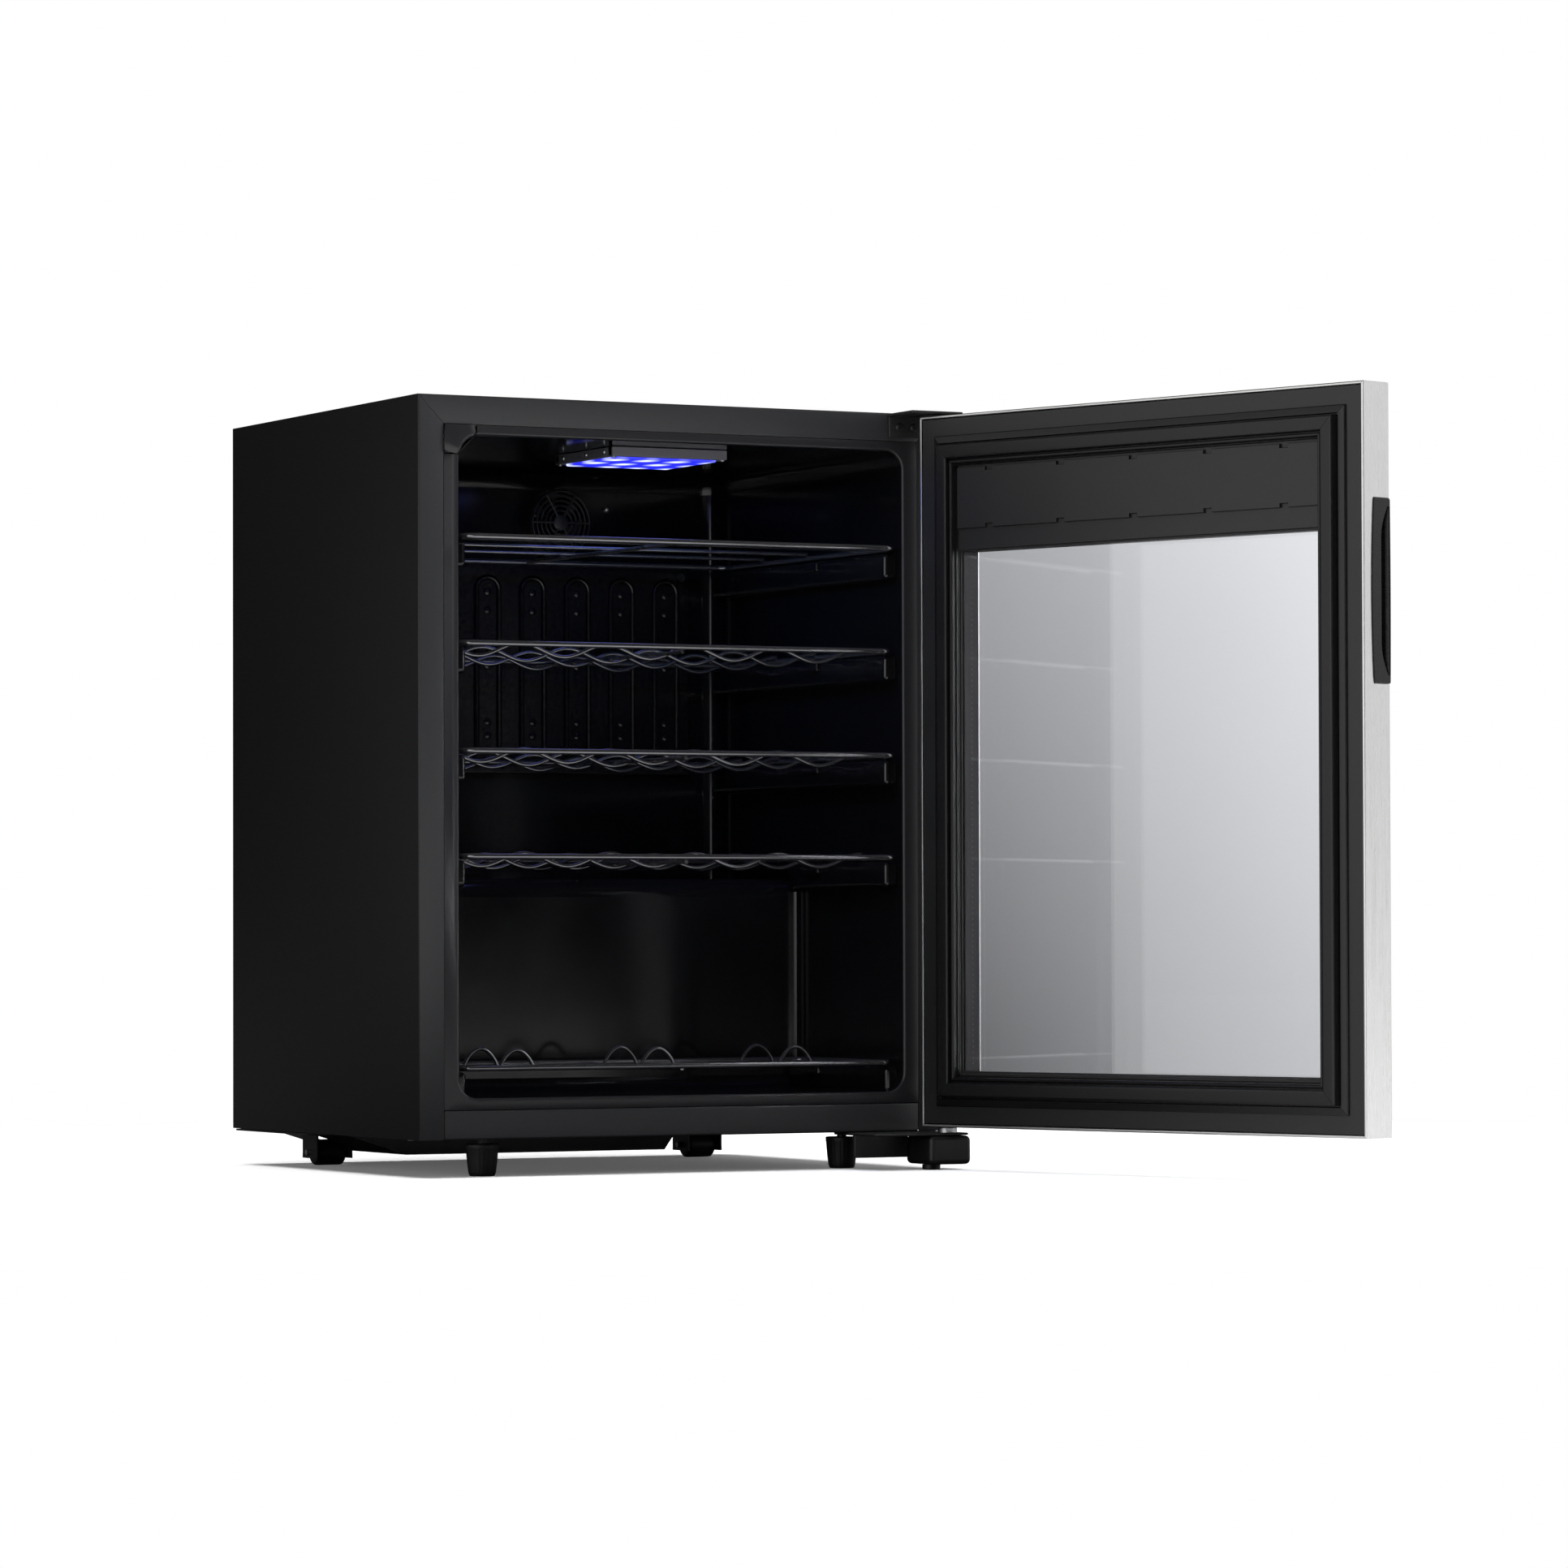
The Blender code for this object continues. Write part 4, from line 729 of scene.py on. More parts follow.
# %% [markdown]
# The step over the compressor is drawn on its own: a profile with a rounded upper edge,
# pushed across the tub, with a hollow fillet in each corner where it meets a side wall.


# %% Step over the compressor
def prism(bm, outline, axis, start, end):
    """Push an outline of two coordinates along the third axis."""
    def spot(a, b, along):
        return {'X': (along, a, b), 'Y': (a, along, b), 'Z': (a, b, along)}[axis]
    near = [bm.verts.new(spot(a, b, start)) for a, b in outline]
    far = [bm.verts.new(spot(a, b, end)) for a, b in outline]
    for k in range(len(outline)):
        n = (k + 1) % len(outline)
        bm.faces.new((near[k], near[n], far[n], far[k]))
    bm.faces.new(near)
    bm.faces.new(far)


bm = bmesh.new()
top_round = arc((HUMP_FRONT + COVE, HUMP_TOP - COVE), COVE, 180, 90, 12)
step_line = ([(HUMP_FRONT, CAVITY_LOW - 0.001)] + top_round
             + [(CAVITY_REAR + 0.0005, HUMP_TOP), (CAVITY_REAR + 0.0005, CAVITY_LOW - 0.001)])
prism(bm, step_line, 'X', -CAVITY_X - 0.0008, CAVITY_X + 0.0008)
FILLET = 0.011
for side in (-1, 1):
    hollow = arc((side * (CAVITY_X - FILLET), HUMP_FRONT - FILLET), FILLET,
                 0 if side > 0 else 180, 90, 8)
    prism(bm, hollow + [(side * (CAVITY_X + 0.0005), HUMP_FRONT + 0.0005)], 'Z',
          CAVITY_LOW - 0.001, HUMP_TOP - COVE * 0.7)
foot_hollow = arc((HUMP_FRONT - FILLET, CAVITY_LOW + FILLET), FILLET, 0, -90, 8)
prism(bm, foot_hollow + [(HUMP_FRONT + 0.0005, CAVITY_LOW - 0.0005)], 'X', -CAVITY_X, CAVITY_X)
case_piece(from_bmesh("step_over_compressor", bm, 35), tub_plastic, "liner", "inner_liner")

# %% [markdown]
# Each shelf slides on a ledge formed in the side walls. In the real tub the ledges are
# part of the same skin; here they are soft-edged blocks sunk into the wall, each with
# the small bump that keeps a shelf from sliding out by itself.

# %% Shelf ledges
ledge_tops = [0.5152, 0.4295, 0.3421, 0.2567, 0.0852]
LEDGE_IN, LEDGE_TALL, LEDGE_START = 0.1925, 0.022, 0.011
ledge_sizes, bump_sizes = [], []
for top in ledge_tops:
    rear = 0.330 if top - LEDGE_TALL > HUMP_TOP else HUMP_FRONT - 0.004
    for side in (-1, 1):
        a, b = sorted((side * LEDGE_IN, side * (CAVITY_X + WALL / 2)))
        ledge_sizes.append(((a, LEDGE_START, top - LEDGE_TALL), (b, rear, top)))
        a, b = sorted((side * (LEDGE_IN - 0.003), side * (LEDGE_IN + 0.003)))
        bump_sizes.append(((a, 0.127, top - 0.0095), (b, 0.150, top - 0.001)))
ledges = blocks("shelf_ledges", *ledge_sizes, radius=0.0040, segments=5)
case_piece(ledges, tub_plastic, "liner")
case_piece(blocks("ledge_bumps", *bump_sizes, radius=0.0018, segments=3), tub_plastic, "liner")

# %% [markdown]
# ## Wire shelves
# A shelf is one frame of thick wire bent round with 12 mm corners, with thinner wires
# welded across it. The cross wires dip in a soft wave so that a bottle lies in each
# hollow: five bottles, side by side. The top shelf is flat and holds cans. Wires are
# swept as curves, so that their highlights run unbroken along the bends.


# %% Shelf wires
FRAME_R, CROSS_R = 0.0025, 0.0017
BOTTLES, PITCH, CREST, DIP = 5, 0.0786, 0.0037, -0.0072
RACK_LOWEST, RACK_BASE, ARCH_CREST = 0.0039, -0.0008, 0.0135


def frame_loop(half, front, rear, z, radius=0.012, steps=10):
    corners = [((half - radius, front + radius), -90), ((half - radius, rear - radius), 0),
               ((radius - half, rear - radius), 90), ((radius - half, front + radius), 180)]
    return [(x, y, z) for centre, start in corners
            for x, y in arc(centre, radius, start, start + 90, steps)]


def wave(half, y, z, per_pitch=18):
    """A wire with a hollow for each bottle; near its ends it rises to the frame."""
    count = BOTTLES * per_pitch
    points = []
    for step in range(count + 1):
        x = -half + 2 * half * step / count
        level = (CREST + DIP) / 2 - math.cos(2 * math.pi * x / PITCH) * (CREST - DIP) / 2
        points.append((x, y, z + min(level, CREST + 0.55 * (half - abs(x)))))
    return points


def arches(half, y, z, pitch=0.129, reach=0.0150, steps=14):
    """A straight wire with three arches in it, one between each two bottles."""
    points = [(-half, y, z + RACK_BASE)]
    for middle in (-pitch, 0.0, pitch):
        for step in range(-steps, steps + 1):
            rise = math.cos(math.pi * step / steps / 2) ** 0.7 if abs(step) < steps else 0
            points.append((middle + reach * step / steps, y,
                           z + RACK_BASE + rise * (ARCH_CREST - RACK_BASE)))
    return points + [(half, y, z + RACK_BASE)]


def wire_shelf(node, z_of, across_of, drop):
    """z_of(low, high) gives the frame's level and across_of(half, front, z) its wires."""
    low, high = case_box(node)
    half = high.x - FRAME_R
    front, rear = low.y + FRAME_R, high.y - FRAME_R
    z = z_of(low, high)
    loop = wires(node + "_frame", [frame_loop(half, front, rear, z)], FRAME_R, True)
    settle(loop, CASE_PLACE, wire_black, node, "wire", node)
    across = across_of(half, front, z)
    across.append([(0, front, z - drop), (0, rear, z - drop)])
    crossing = wires(node + "_cross_wires", across, CROSS_R)
    settle(crossing, CASE_PLACE, wire_black, node, "wire", node)
    print(node, "frame at", round(z, 4), "front at", round(front, 4))


wire_shelf("wire_shelf_1", lambda low, high: low.z + FRAME_R,
           lambda half, front, z: [[(-half, front + y, z + CREST), (half, front + y, z + CREST)]
                                   for y in (0.078, 0.158, 0.238)], 0.0)
for number in (2, 3, 4):
    wire_shelf(f"wire_shelf_{number}", lambda low, high: low.z + CROSS_R - DIP,
               lambda half, front, z: [wave(half, front + y, z)
                                       for y in (0.062, 0.137, 0.209, 0.281)], 0.004)
wire_shelf("bottom_rack", lambda low, high: low.z + RACK_LOWEST,
           lambda half, front, z: [arches(half, front + y, z) for y in (0.045, 0.115)],
           0.0022)

# %% [markdown]
# ## Inside the cabinet
# The cold plate is two aluminium sheets rolled together with a channel blown up between
# them, so the channel stands proud as a soft tube that snakes up and down. Rows of
# dimples stiffen it. The fan beside it sits in a cup behind a grille of rings.


# %% Cold plate
def snake(low, high, runs, y, steps=10):
    """One line up and down between two (x, z) corners, with round turns."""
    pitch = (high[0] - low[0]) / (runs - 1)
    radius = pitch / 2
    points = []
    for k in range(runs):
        x = low[0] + k * pitch
        rising = k % 2 == 0
        ends = (low[1] + radius, high[1] - radius) if rising else (high[1] - radius,
                                                                     low[1] + radius)
        points += [(x, y, ends[0]), (x, y, ends[1])]
        if k < runs - 1:
            turn = arc((x + radius, ends[1]), radius, 180, 0 if rising else 360, steps)
            points += [(px, y, pz) for px, pz in turn[1:-1]]
    return points


plate_low, plate_high = case_box("evaporator_plate")
PLATE_FRONT_Y, RUNS = 0.3385, 16
cold_plate = blocks("cold_plate", ((plate_low.x, PLATE_FRONT_Y, plate_low.z),
                                   (plate_high.x, PLATE_FRONT_Y + 0.0015, plate_high.z)),
                    radius=0.0006, segments=2)
case_piece(cold_plate, plate_coat, "evaporator", "evaporator_plate")
channel_line = snake((plate_low.x + 0.012, plate_low.z + 0.012),
                     (plate_high.x - 0.012, plate_high.z - 0.012), RUNS, PLATE_FRONT_Y)
channel = wires("cold_plate_channel", [channel_line], 0.0026)
case_piece(channel, plate_coat, "evaporator", "evaporator_plate")
bm = bmesh.new()
for k in range(0, RUNS - 1, 2):
    for z in (0.357, 0.369, 0.381, 0.430, 0.478, 0.494):
        x = plate_low.x + 0.012 + (k + 0.5) * (plate_high.x - plate_low.x - 0.024) / (RUNS - 1)
        place = Matrix.Translation((x, PLATE_FRONT_Y, z)) @ Matrix.Diagonal((1, 0.4, 1, 1))
        bmesh.ops.create_uvsphere(bm, u_segments=14, v_segments=8, radius=0.0036,
                                  matrix=place)
dimples = from_bmesh("cold_plate_dimples", bm)
case_piece(dimples, plate_coat, "evaporator")


# %% Screws
def screw_heads(name, places, axis, radius, body, place=CASE_PLACE, material=None):
    """Round pan heads with a cross slot, all in one mesh, facing along an axis."""
    lie = {'-Y': Matrix.Rotation(math.pi / 2, 4, 'X'), '-Z': Matrix.Rotation(math.pi, 4, 'X'),
           '-X': Matrix.Rotation(-math.pi / 2, 4, 'Y')}
    bm = bmesh.new()
    for spot in places:
        turn = Matrix.Translation(spot) @ lie[axis]
        bmesh.ops.create_cone(bm, cap_ends=True, segments=20, radius1=radius,
                              radius2=radius * 0.72, depth=radius * 0.5,
                              matrix=turn @ Matrix.Translation((0, 0, radius * 0.25)))
        for angle in (0, 90):
            slot = (turn @ Matrix.Rotation(math.radians(angle), 4, 'Z')
                    @ Matrix.Translation((0, 0, radius * 0.5))
                    @ Matrix.Diagonal((radius * 0.9, radius * 0.2, radius * 0.06, 1)))
            bmesh.ops.create_cube(bm, size=1.0, matrix=slot)
    heads = from_bmesh(name, bm, 30)
    return settle(heads, place, material or zinc, body, "zinc_steel")


plate_corners = [(x, PLATE_FRONT_Y, z) for x in (-0.166, 0.166) for z in (0.345, 0.511)]
screw_heads("cold_plate_screws", plate_corners, '-Y', 0.004, "case", material=black_metal)

# %% Fan
housing_low, housing_high = case_box("fan_housing")
FAN_X = (housing_low.x + housing_high.x) / 2
FAN_Z = (housing_low.z + housing_high.z) / 2
FAN_R = (housing_high.x - housing_low.x) / 2
fan_back, fan_front = housing_high.y, housing_low.y
cup = [(0, fan_back), (FAN_R, fan_back), (FAN_R, fan_front + 0.0006),
       (FAN_R - 0.0006, fan_front), (FAN_R - 0.0014, fan_front),
       (FAN_R - 0.002, fan_front + 0.0006), (FAN_R - 0.002, fan_back - 0.002),
       (0, fan_back - 0.002)]
case_piece(turned("fan_cup", cup, (FAN_X, 0, FAN_Z), 'Y', 64), moulded, "black_plastic",
           "fan_housing")
rotor_low, rotor_high = case_box("fan_rotor")
hub_front = rotor_low.y + 0.001
hub = [(0, hub_front), (0.0075, hub_front), (0.009, hub_front + 0.0015),
       (0.009, hub_front + 0.009), (0, hub_front + 0.009)]
fan_hub = turned("fan_hub", hub, (FAN_X, 0, FAN_Z), 'Y', 40)
settle(fan_hub, CASE_PLACE, smooth_black, "fan_rotor", "black_plastic", "fan_rotor")
bm = bmesh.new()
blade_y = (rotor_low.y + rotor_high.y) / 2
for blade in range(7):
    turn = Matrix.Rotation(2 * math.pi * blade / 7, 4, 'Y')
    rows = []
    for step in range(6):
        radius = 0.008 + 0.0165 * step / 5
        reach = 0.0035 + 0.0015 * step / 5
        sweep = 0.35 * step / 5
        row = []
        for side in (-1, 0, 1):
            angle = sweep + side * reach / radius * 0.9
            row.append(turn @ Vector((radius * math.cos(angle), side * 0.0042,
                                      radius * math.sin(angle))))
        rows.append([bm.verts.new(p + Vector((FAN_X, blade_y, FAN_Z))) for p in row])
    for first, second in zip(rows, rows[1:]):
        for k in (0, 1):
            bm.faces.new((first[k], first[k + 1], second[k + 1], second[k]))
fan_blades = from_bmesh("fan_blades", bm)
thick = fan_blades.modifiers.new("blade", 'SOLIDIFY')
thick.thickness = 0.0009
settle(fan_blades, CASE_PLACE, smooth_black, "fan_rotor", "black_plastic", "fan_rotor")
ring_y = 0.3255
rings = [[(FAN_X + r * math.cos(t), ring_y, FAN_Z + r * math.sin(t))
          for t in [2 * math.pi * k / 48 for k in range(48)]]
         for r in (0.0105, 0.0148, 0.0190, 0.0232, FAN_R - 0.0015)]
case_piece(wires("fan_grille_rings", rings, 0.0009, True, 3), moulded, "black_plastic",
           "fan_grille")
spokes = [[(FAN_X + r * math.cos(t), ring_y, FAN_Z + r * math.sin(t))
           for r in (0.006, FAN_R - 0.0015)] for t in [math.pi * k / 3 for k in range(6)]]
case_piece(wires("fan_grille_spokes", spokes, 0.0011), moulded, "black_plastic", "fan_grille")
case_piece(turned("fan_grille_hub",
                  [(0, 0.3244), (0.006, 0.3246), (0.007, 0.3252), (0.007, 0.3266), (0, 0.3266)],
                  (FAN_X, 0, FAN_Z), 'Y'), moulded, "black_plastic", "fan_grille")

bm = bmesh.new()
for x, z, radius in ((0.023, 0.5700, 0.0028), (0.096, 0.5695, 0.0028)):
    bmesh.ops.create_uvsphere(bm, u_segments=20, v_segments=12, radius=radius,
                              matrix=Matrix.Translation((x, fan_back - 0.0004, z)))
case_piece(from_bmesh("fan_dome_screws", bm), zinc, "zinc_steel")

# %% [markdown]
# The lamp is a shallow grey box screwed under the ceiling, with a milky lens pushed up
# into it. Blue-white diodes sit on a strip behind the lens, so the lens glows unevenly:
# brightest under each diode. The lens material mixes its glow from the distance to the
# nearest diode, and one small area light does the actual lighting of the cabinet.

# %% Cabinet lamp
lamp_low, lamp_high = case_box("lamp_housing")
LAMP_Z = 0.5918
RIM = 0.0057
(x0, y0), (x1, y1), top = lamp_low.xy, lamp_high.xy, lamp_high.z
lamp_walls = [((x0, y0, LAMP_Z), (x1, y0 + 0.008, top)),
              ((x0, y1 - 0.008, LAMP_Z), (x1, y1, top)),
              ((x0, y0 + 0.001, LAMP_Z), (x0 + RIM, y1 - 0.001, top)),
              ((x1 - RIM, y0 + 0.001, LAMP_Z), (x1, y1 - 0.001, top)),
              ((x0 + 0.001, y0 + 0.001, LAMP_Z + 0.005), (x1 - 0.001, y1 - 0.001, top))]
case_piece(blocks("lamp_body", *lamp_walls, radius=0.0007, segments=3), lamp_grey,
           "grey_plastic", "lamp_housing")

lens_low, lens_high = case_box("lamp_lens")
lens_glow = new_material("glowing lens", (0.05, 0.06, 0.5), 0.25)
tree = lens_glow.node_tree
place = add_node(tree, "ShaderNodeTexCoord").outputs["Object"]
spread_out = add_node(tree, "ShaderNodeMapping", Vector=place, Scale=(34.0, 26.0, 1.0),
                      Location=(0.1, 0.2, 0.0))
diode = add_node(tree, "ShaderNodeTexVoronoi", voronoi_dimensions='2D', Scale=1.0,
                 Randomness=0.15, Vector=spread_out.outputs["Vector"])
hot = spread(tree, diode.outputs["Distance"], 1.0, 0.0, 0.05, 0.42)
glow_colour = add_node(tree, "ShaderNodeMix", data_type='RGBA', Factor=hot,
                       A=(0.02, 0.025, 1.0, 1), B=(0.55, 0.60, 1.0, 1))
shader = tree.nodes["Principled BSDF"]
fill(tree, shader.inputs["Emission Color"], glow_colour.outputs["Result"])
fill(tree, shader.inputs["Emission Strength"], spread(tree, hot, 1.1, 2.6, 0.0, 1.0))
LENS_UP = Vector((0, 0, 0.0022))
lens = blocks("lamp_lens_cover", (lens_low + LENS_UP, lens_high + LENS_UP), radius=0.0012,
              segments=4)
case_piece(lens, lens_glow, "lens", "lamp_lens")
lamp_corners = [(x, y, LAMP_Z - 0.0001) for x in (lamp_low.x + 0.0028, lamp_high.x - 0.0028)
                for y in (lamp_low.y + 0.004, lamp_high.y - 0.004)]
screw_heads("lamp_screws", lamp_corners, '-Z', 0.0022, "case")
side_screws = [(lamp_low.x, y, LAMP_Z + 0.0042) for y in (0.066, 0.100, 0.144)]
screw_heads("lamp_side_screws", side_screws, '-X', 0.0020, "case")
lamp_light = softbox("cabinet light", ((lamp_low.x + lamp_high.x) / 2, 0.105, LAMP_Z - 0.004),
                     ((lamp_low.x + lamp_high.x) / 2, 0.105, 0.0), (0.09, 0.09), 0.6)
lamp_light.data.color = (0.25, 0.42, 1.0)

# %% [markdown]
# ## The door
# The door is a stainless sheet frame wrapped round two panes. Its four rails are folded
# from brushed strip and mitred, and the brushing turns the corner with each mitre. The
# section is only a few millimetres thick, with a rolled edge where a hand would meet it.

# %% Stainless rails
bottom_low, bottom_high = door_box("door_bottom_rail")
top_rail_low, top_rail_high = door_box("door_top_rail")
DOOR_HALF = bottom_high.x + 0.0002
DOOR_Z0, DOOR_Z1 = bottom_low.z, top_rail_high.z
DOOR_IN, DOOR_OUT = bottom_high.y, bottom_low.y
FOLD, BORDER, FACE = 0.0024, 0.040, 0.0014
print(f"door {2 * DOOR_HALF:.4f} wide, {DOOR_Z1 - DOOR_Z0:.4f} high")

outer_turn = arc((0.0016, DOOR_OUT + 0.0016), 0.0016, 270, 180, 6)
inner_turn = arc((0.0009, DOOR_IN - 0.0009), 0.0009, 180, 90, 4)
fold_turn = arc((FOLD - 0.0006, DOOR_IN - 0.0006), 0.0006, 90, 0, 3)
rail_section = (outer_turn + inner_turn + fold_turn
                + [(FOLD, DOOR_OUT + FACE), (BORDER, DOOR_OUT + FACE),
                   (BORDER, DOOR_OUT + 0.0003), (BORDER - 0.0003, DOOR_OUT)])
door_low, door_high = (-DOOR_HALF, DOOR_Z0), (DOOR_HALF, DOOR_Z1)


def carve(piece, cutter):
    """Cut one mesh out of another and keep only the result."""
    tool = piece.modifiers.new("carve", 'BOOLEAN')
    tool.operation = 'DIFFERENCE'
    tool.solver = 'EXACT'
    tool.object = cutter
    bpy.context.view_layer.update()
    graph = bpy.context.evaluated_depsgraph_get()
    mesh = bpy.data.meshes.new_from_object(piece.evaluated_get(graph))
    piece.modifiers.clear()
    piece.data = mesh
    mesh.shade_smooth()
    mesh.set_sharp_from_angle(angle=math.radians(30))
    bpy.data.objects.remove(cutter)
    print(piece.name, len(mesh.polygons), "faces after the cut")
    return even(piece)


handle_low, handle_high = door_box("pocket_handle")
flange_z0, flange_z1 = handle_low.z + 0.0002, handle_high.z - 0.0020
for side, node, material in ((0, "door_bottom_rail", brushed_level),
                             (1, "door_hinge_stile", brushed_up),
                             (2, "door_top_rail", brushed_level),
                             (3, "door_handle_stile", brushed_up)):
    rail = frame_runs(node + "_strip", rail_section, door_low, door_high, (side,))
    if side == 3:
        slot = blocks("handle_slot", ((-DOOR_HALF - 0.01, DOOR_OUT - 0.01, flange_z0 - 0.0002),
                                      (-DOOR_HALF + FOLD + 0.0002, handle_high.y + 0.0001,
                                       flange_z1 + 0.0002)))
        carve(rail, slot)
    door_piece(rail, material, "stainless", node)


# %% [markdown]
# Inside, a moulded frame covers the foam edge. It has a window, and above the window a
# separate cover closes the control electronics; small notches let a blade lift it off.

# %% Door's inner frame
def ring_block(bm, outer, inner, y0, y1, radius=0.0):
    """A rectangular ring: outer and inner are ((x0, z0), (x1, z1)) rectangles."""
    def corners(rect, y):
        (x0, z0), (x1, z1) = rect
        return [bm.verts.new((x, y, z)) for x, z in ((x0, z0), (x1, z0), (x1, z1), (x0, z1))]
    front_out, front_in = corners(outer, y0), corners(inner, y0)
    back_out, back_in = corners(outer, y1), corners(inner, y1)
    faces = []
    for k in range(4):
        n = (k + 1) % 4
        faces.append(bm.faces.new((front_out[k], front_out[n], front_in[n], front_in[k])))
        faces.append(bm.faces.new((back_out[n], back_out[k], back_in[k], back_in[n])))
        faces.append(bm.faces.new((front_out[n], front_out[k], back_out[k], back_out[n])))
        faces.append(bm.faces.new((front_in[k], front_in[n], back_in[n], back_in[k])))
    bmesh.ops.recalc_face_normals(bm, faces=faces)
    if radius:
        edges = [edge for ring in (front_out, front_in, back_out, back_in)
                 for k in range(4) for edge in ring[k].link_edges
                 if edge.other_vert(ring[k]) is ring[(k + 1) % 4]]
        bmesh.ops.bevel(bm, geom=edges, offset=radius, segments=3, profile=0.5,
                        affect='EDGES')


frame_low, frame_high = door_box("door_inner_frame")
window = ((-DOOR_HALF + 0.043, DOOR_Z0 + 0.0454), (DOOR_HALF - 0.043, DOOR_Z1 - 0.113))
PLATE_IN = frame_high.y
bm = bmesh.new()
ring_block(bm, ((frame_low.x, frame_low.z), (frame_high.x, frame_high.z)), window,
           frame_low.y, PLATE_IN, 0.0008)
ring_block(bm, ((window[0][0] - 0.004, window[0][1] - 0.004),
                (window[1][0] + 0.004, window[1][1] + 0.004)),
           ((window[0][0] + 0.0015, window[0][1] + 0.0015),
            (window[1][0] - 0.0015, window[1][1] - 0.0015)),
           frame_low.y - 0.0001, frame_low.y + 0.0012, 0.0004)
door_piece(from_bmesh("door_moulding", bm, 30), moulded, "black_plastic", "door_inner_frame")

# %% Control cover
cover_low, cover_high = door_box("control_cover")
NOTCH_W, NOTCH_D = 0.0085, 0.0032
notch_xs = [-0.158, -0.079, 0.0, 0.079, 0.158]
outline = []
for z, depth, xs in ((cover_low.z, NOTCH_D, notch_xs),
                     (cover_high.z, -NOTCH_D, notch_xs[::-1])):
    half = math.copysign(NOTCH_W / 2, depth)
    outline.append((cover_low.x if depth > 0 else cover_high.x, z))
    for x in xs:
        outline += [(x - half, z), (x - half, z + depth), (x + half, z + depth), (x + half, z)]
    outline.append((cover_high.x if depth > 0 else cover_low.x, z))
bm = bmesh.new()
base = bm.faces.new([bm.verts.new((x, cover_low.y, z)) for x, z in outline])
raised = bmesh.ops.extrude_face_region(bm, geom=[base])
top_verts = [item for item in raised["geom"] if isinstance(item, bmesh.types.BMVert)]
bmesh.ops.translate(bm, verts=top_verts, vec=(0, cover_high.y - cover_low.y, 0))
top_edges = [edge for edge in bm.edges if all(vert in top_verts for vert in edge.verts)]
bmesh.ops.bevel(bm, geom=top_edges, offset=0.0005, segments=2, profile=0.5, affect='EDGES')
cover = from_bmesh("control_cover_plate", bm, 30)
door_piece(cover, moulded, "black_plastic", "control_cover")

# %% [markdown]
# The gasket is extruded rubber with a magnet strip in its bulb, cut at 45 degrees and
# welded in the corners, so a fine seam runs across each corner. Its section has a flat
# lip that lies on the frame, a groove, and the soft bulb that meets the cabinet.

# %% Gasket
gasket_low, gasket_high = door_box("door_gasket")
g0 = gasket_low.y
lip = [(0.0175, g0), (0.0175, g0 + 0.0009), (0.0183, g0 + 0.0017), (0.0226, g0 + 0.0026),
       (0.0236, g0 + 0.0027), (0.0242, g0 + 0.0021), (0.0244, g0 + 0.0008),
       (0.0252, g0 + 0.0008)]
bulb = (arc((0.0272, -0.0021), 0.0017, 180, 90, 5) + [(0.0345, -0.0004)]
        + arc((0.0362, -0.0017), 0.0012, 90, 0, 4))
fold = ([(0.0376, g0 + 0.0030), (0.0384, g0 + 0.0030)]
        + arc((0.0402, g0 + 0.0050), 0.0016, 180, 0, 6)
        + [(0.0420, g0 + 0.0012), (0.0426, g0 + 0.0012), (0.0431, g0 + 0.0018), (0.0431, g0)])
gasket = frame_runs("magnetic_gasket", lip + bulb + fold, door_low, door_high, slip=0.00018)
door_piece(gasket, rubber, "rubber", "door_gasket")

# %% [markdown]
# The spacer between the panes is a thin aluminium channel filled with drying beads, and
# pricked with a row of small holes. From the side it reads as a dotted dark bar.

# %% Glazing
for node, name in (("inner_glass", "inner_pane"), ("outer_glass", "outer_pane")):
    low, high = door_box(node)
    pane = blocks(name, (low, high), radius=0.0004, segments=2)
    door_piece(pane, pane_glass, "glass", node)

spacer_low, spacer_high = door_box("glass_spacer")
SPACER_W = 0.008
spacer_paint = weather(new_material("dark spacer bar", (0.03, 0.03, 0.032), 0.5, 0.3), 900,
                       (0.42, 0.6), (0.8, 1.2), bump=0.1)
bar_section = [(0, spacer_high.y), (SPACER_W - 0.0006, spacer_high.y),
               (SPACER_W, spacer_high.y - 0.0006), (SPACER_W, spacer_low.y + 0.0006),
               (SPACER_W - 0.0006, spacer_low.y), (0, spacer_low.y)]
spacer = frame_runs("spacer_bar", bar_section, (spacer_low.x, spacer_low.z),
                    (spacer_high.x, spacer_high.z), slip=0.0)
door_piece(spacer, spacer_paint, "zinc_steel", "glass_spacer")
dot_grey = weather(new_material("drying beads", (0.10, 0.10, 0.105), 0.6), 800, (0.5, 0.7))
bm = bmesh.new()
middle_y = (spacer_low.y + spacer_high.y) / 2
z = spacer_low.z + 0.014
while z < spacer_high.z - 0.012:
    for x in (spacer_low.x + SPACER_W, spacer_high.x - SPACER_W):
        add_block(bm, (x - 0.0002, middle_y - 0.0005, z),
                  (x + 0.0002, middle_y + 0.0005, z + 0.0014))
    z += 0.0046
door_piece(from_bmesh("spacer_dots", bm), dot_grey, "zinc_steel")
edges = [((x - 0.0004, spacer_low.y + 0.0001, spacer_low.z + SPACER_W),
          (x + 0.0004, spacer_low.y + 0.0012, spacer_high.z - SPACER_W))
         for x in (spacer_low.x + SPACER_W, spacer_high.x - SPACER_W)]
door_piece(blocks("spacer_bright_edge", *edges), zinc, "zinc_steel")

# %% [markdown]
# The handle is a plastic cup let into the door's free edge, with a flange that bows out a
# little. Fingers reach through its crescent mouth, which is cut from flange and cup alike.

# %% Pocket handle
BOW_IN, BOW_OUT, CORNER = 0.0026, 0.0005, 0.0016


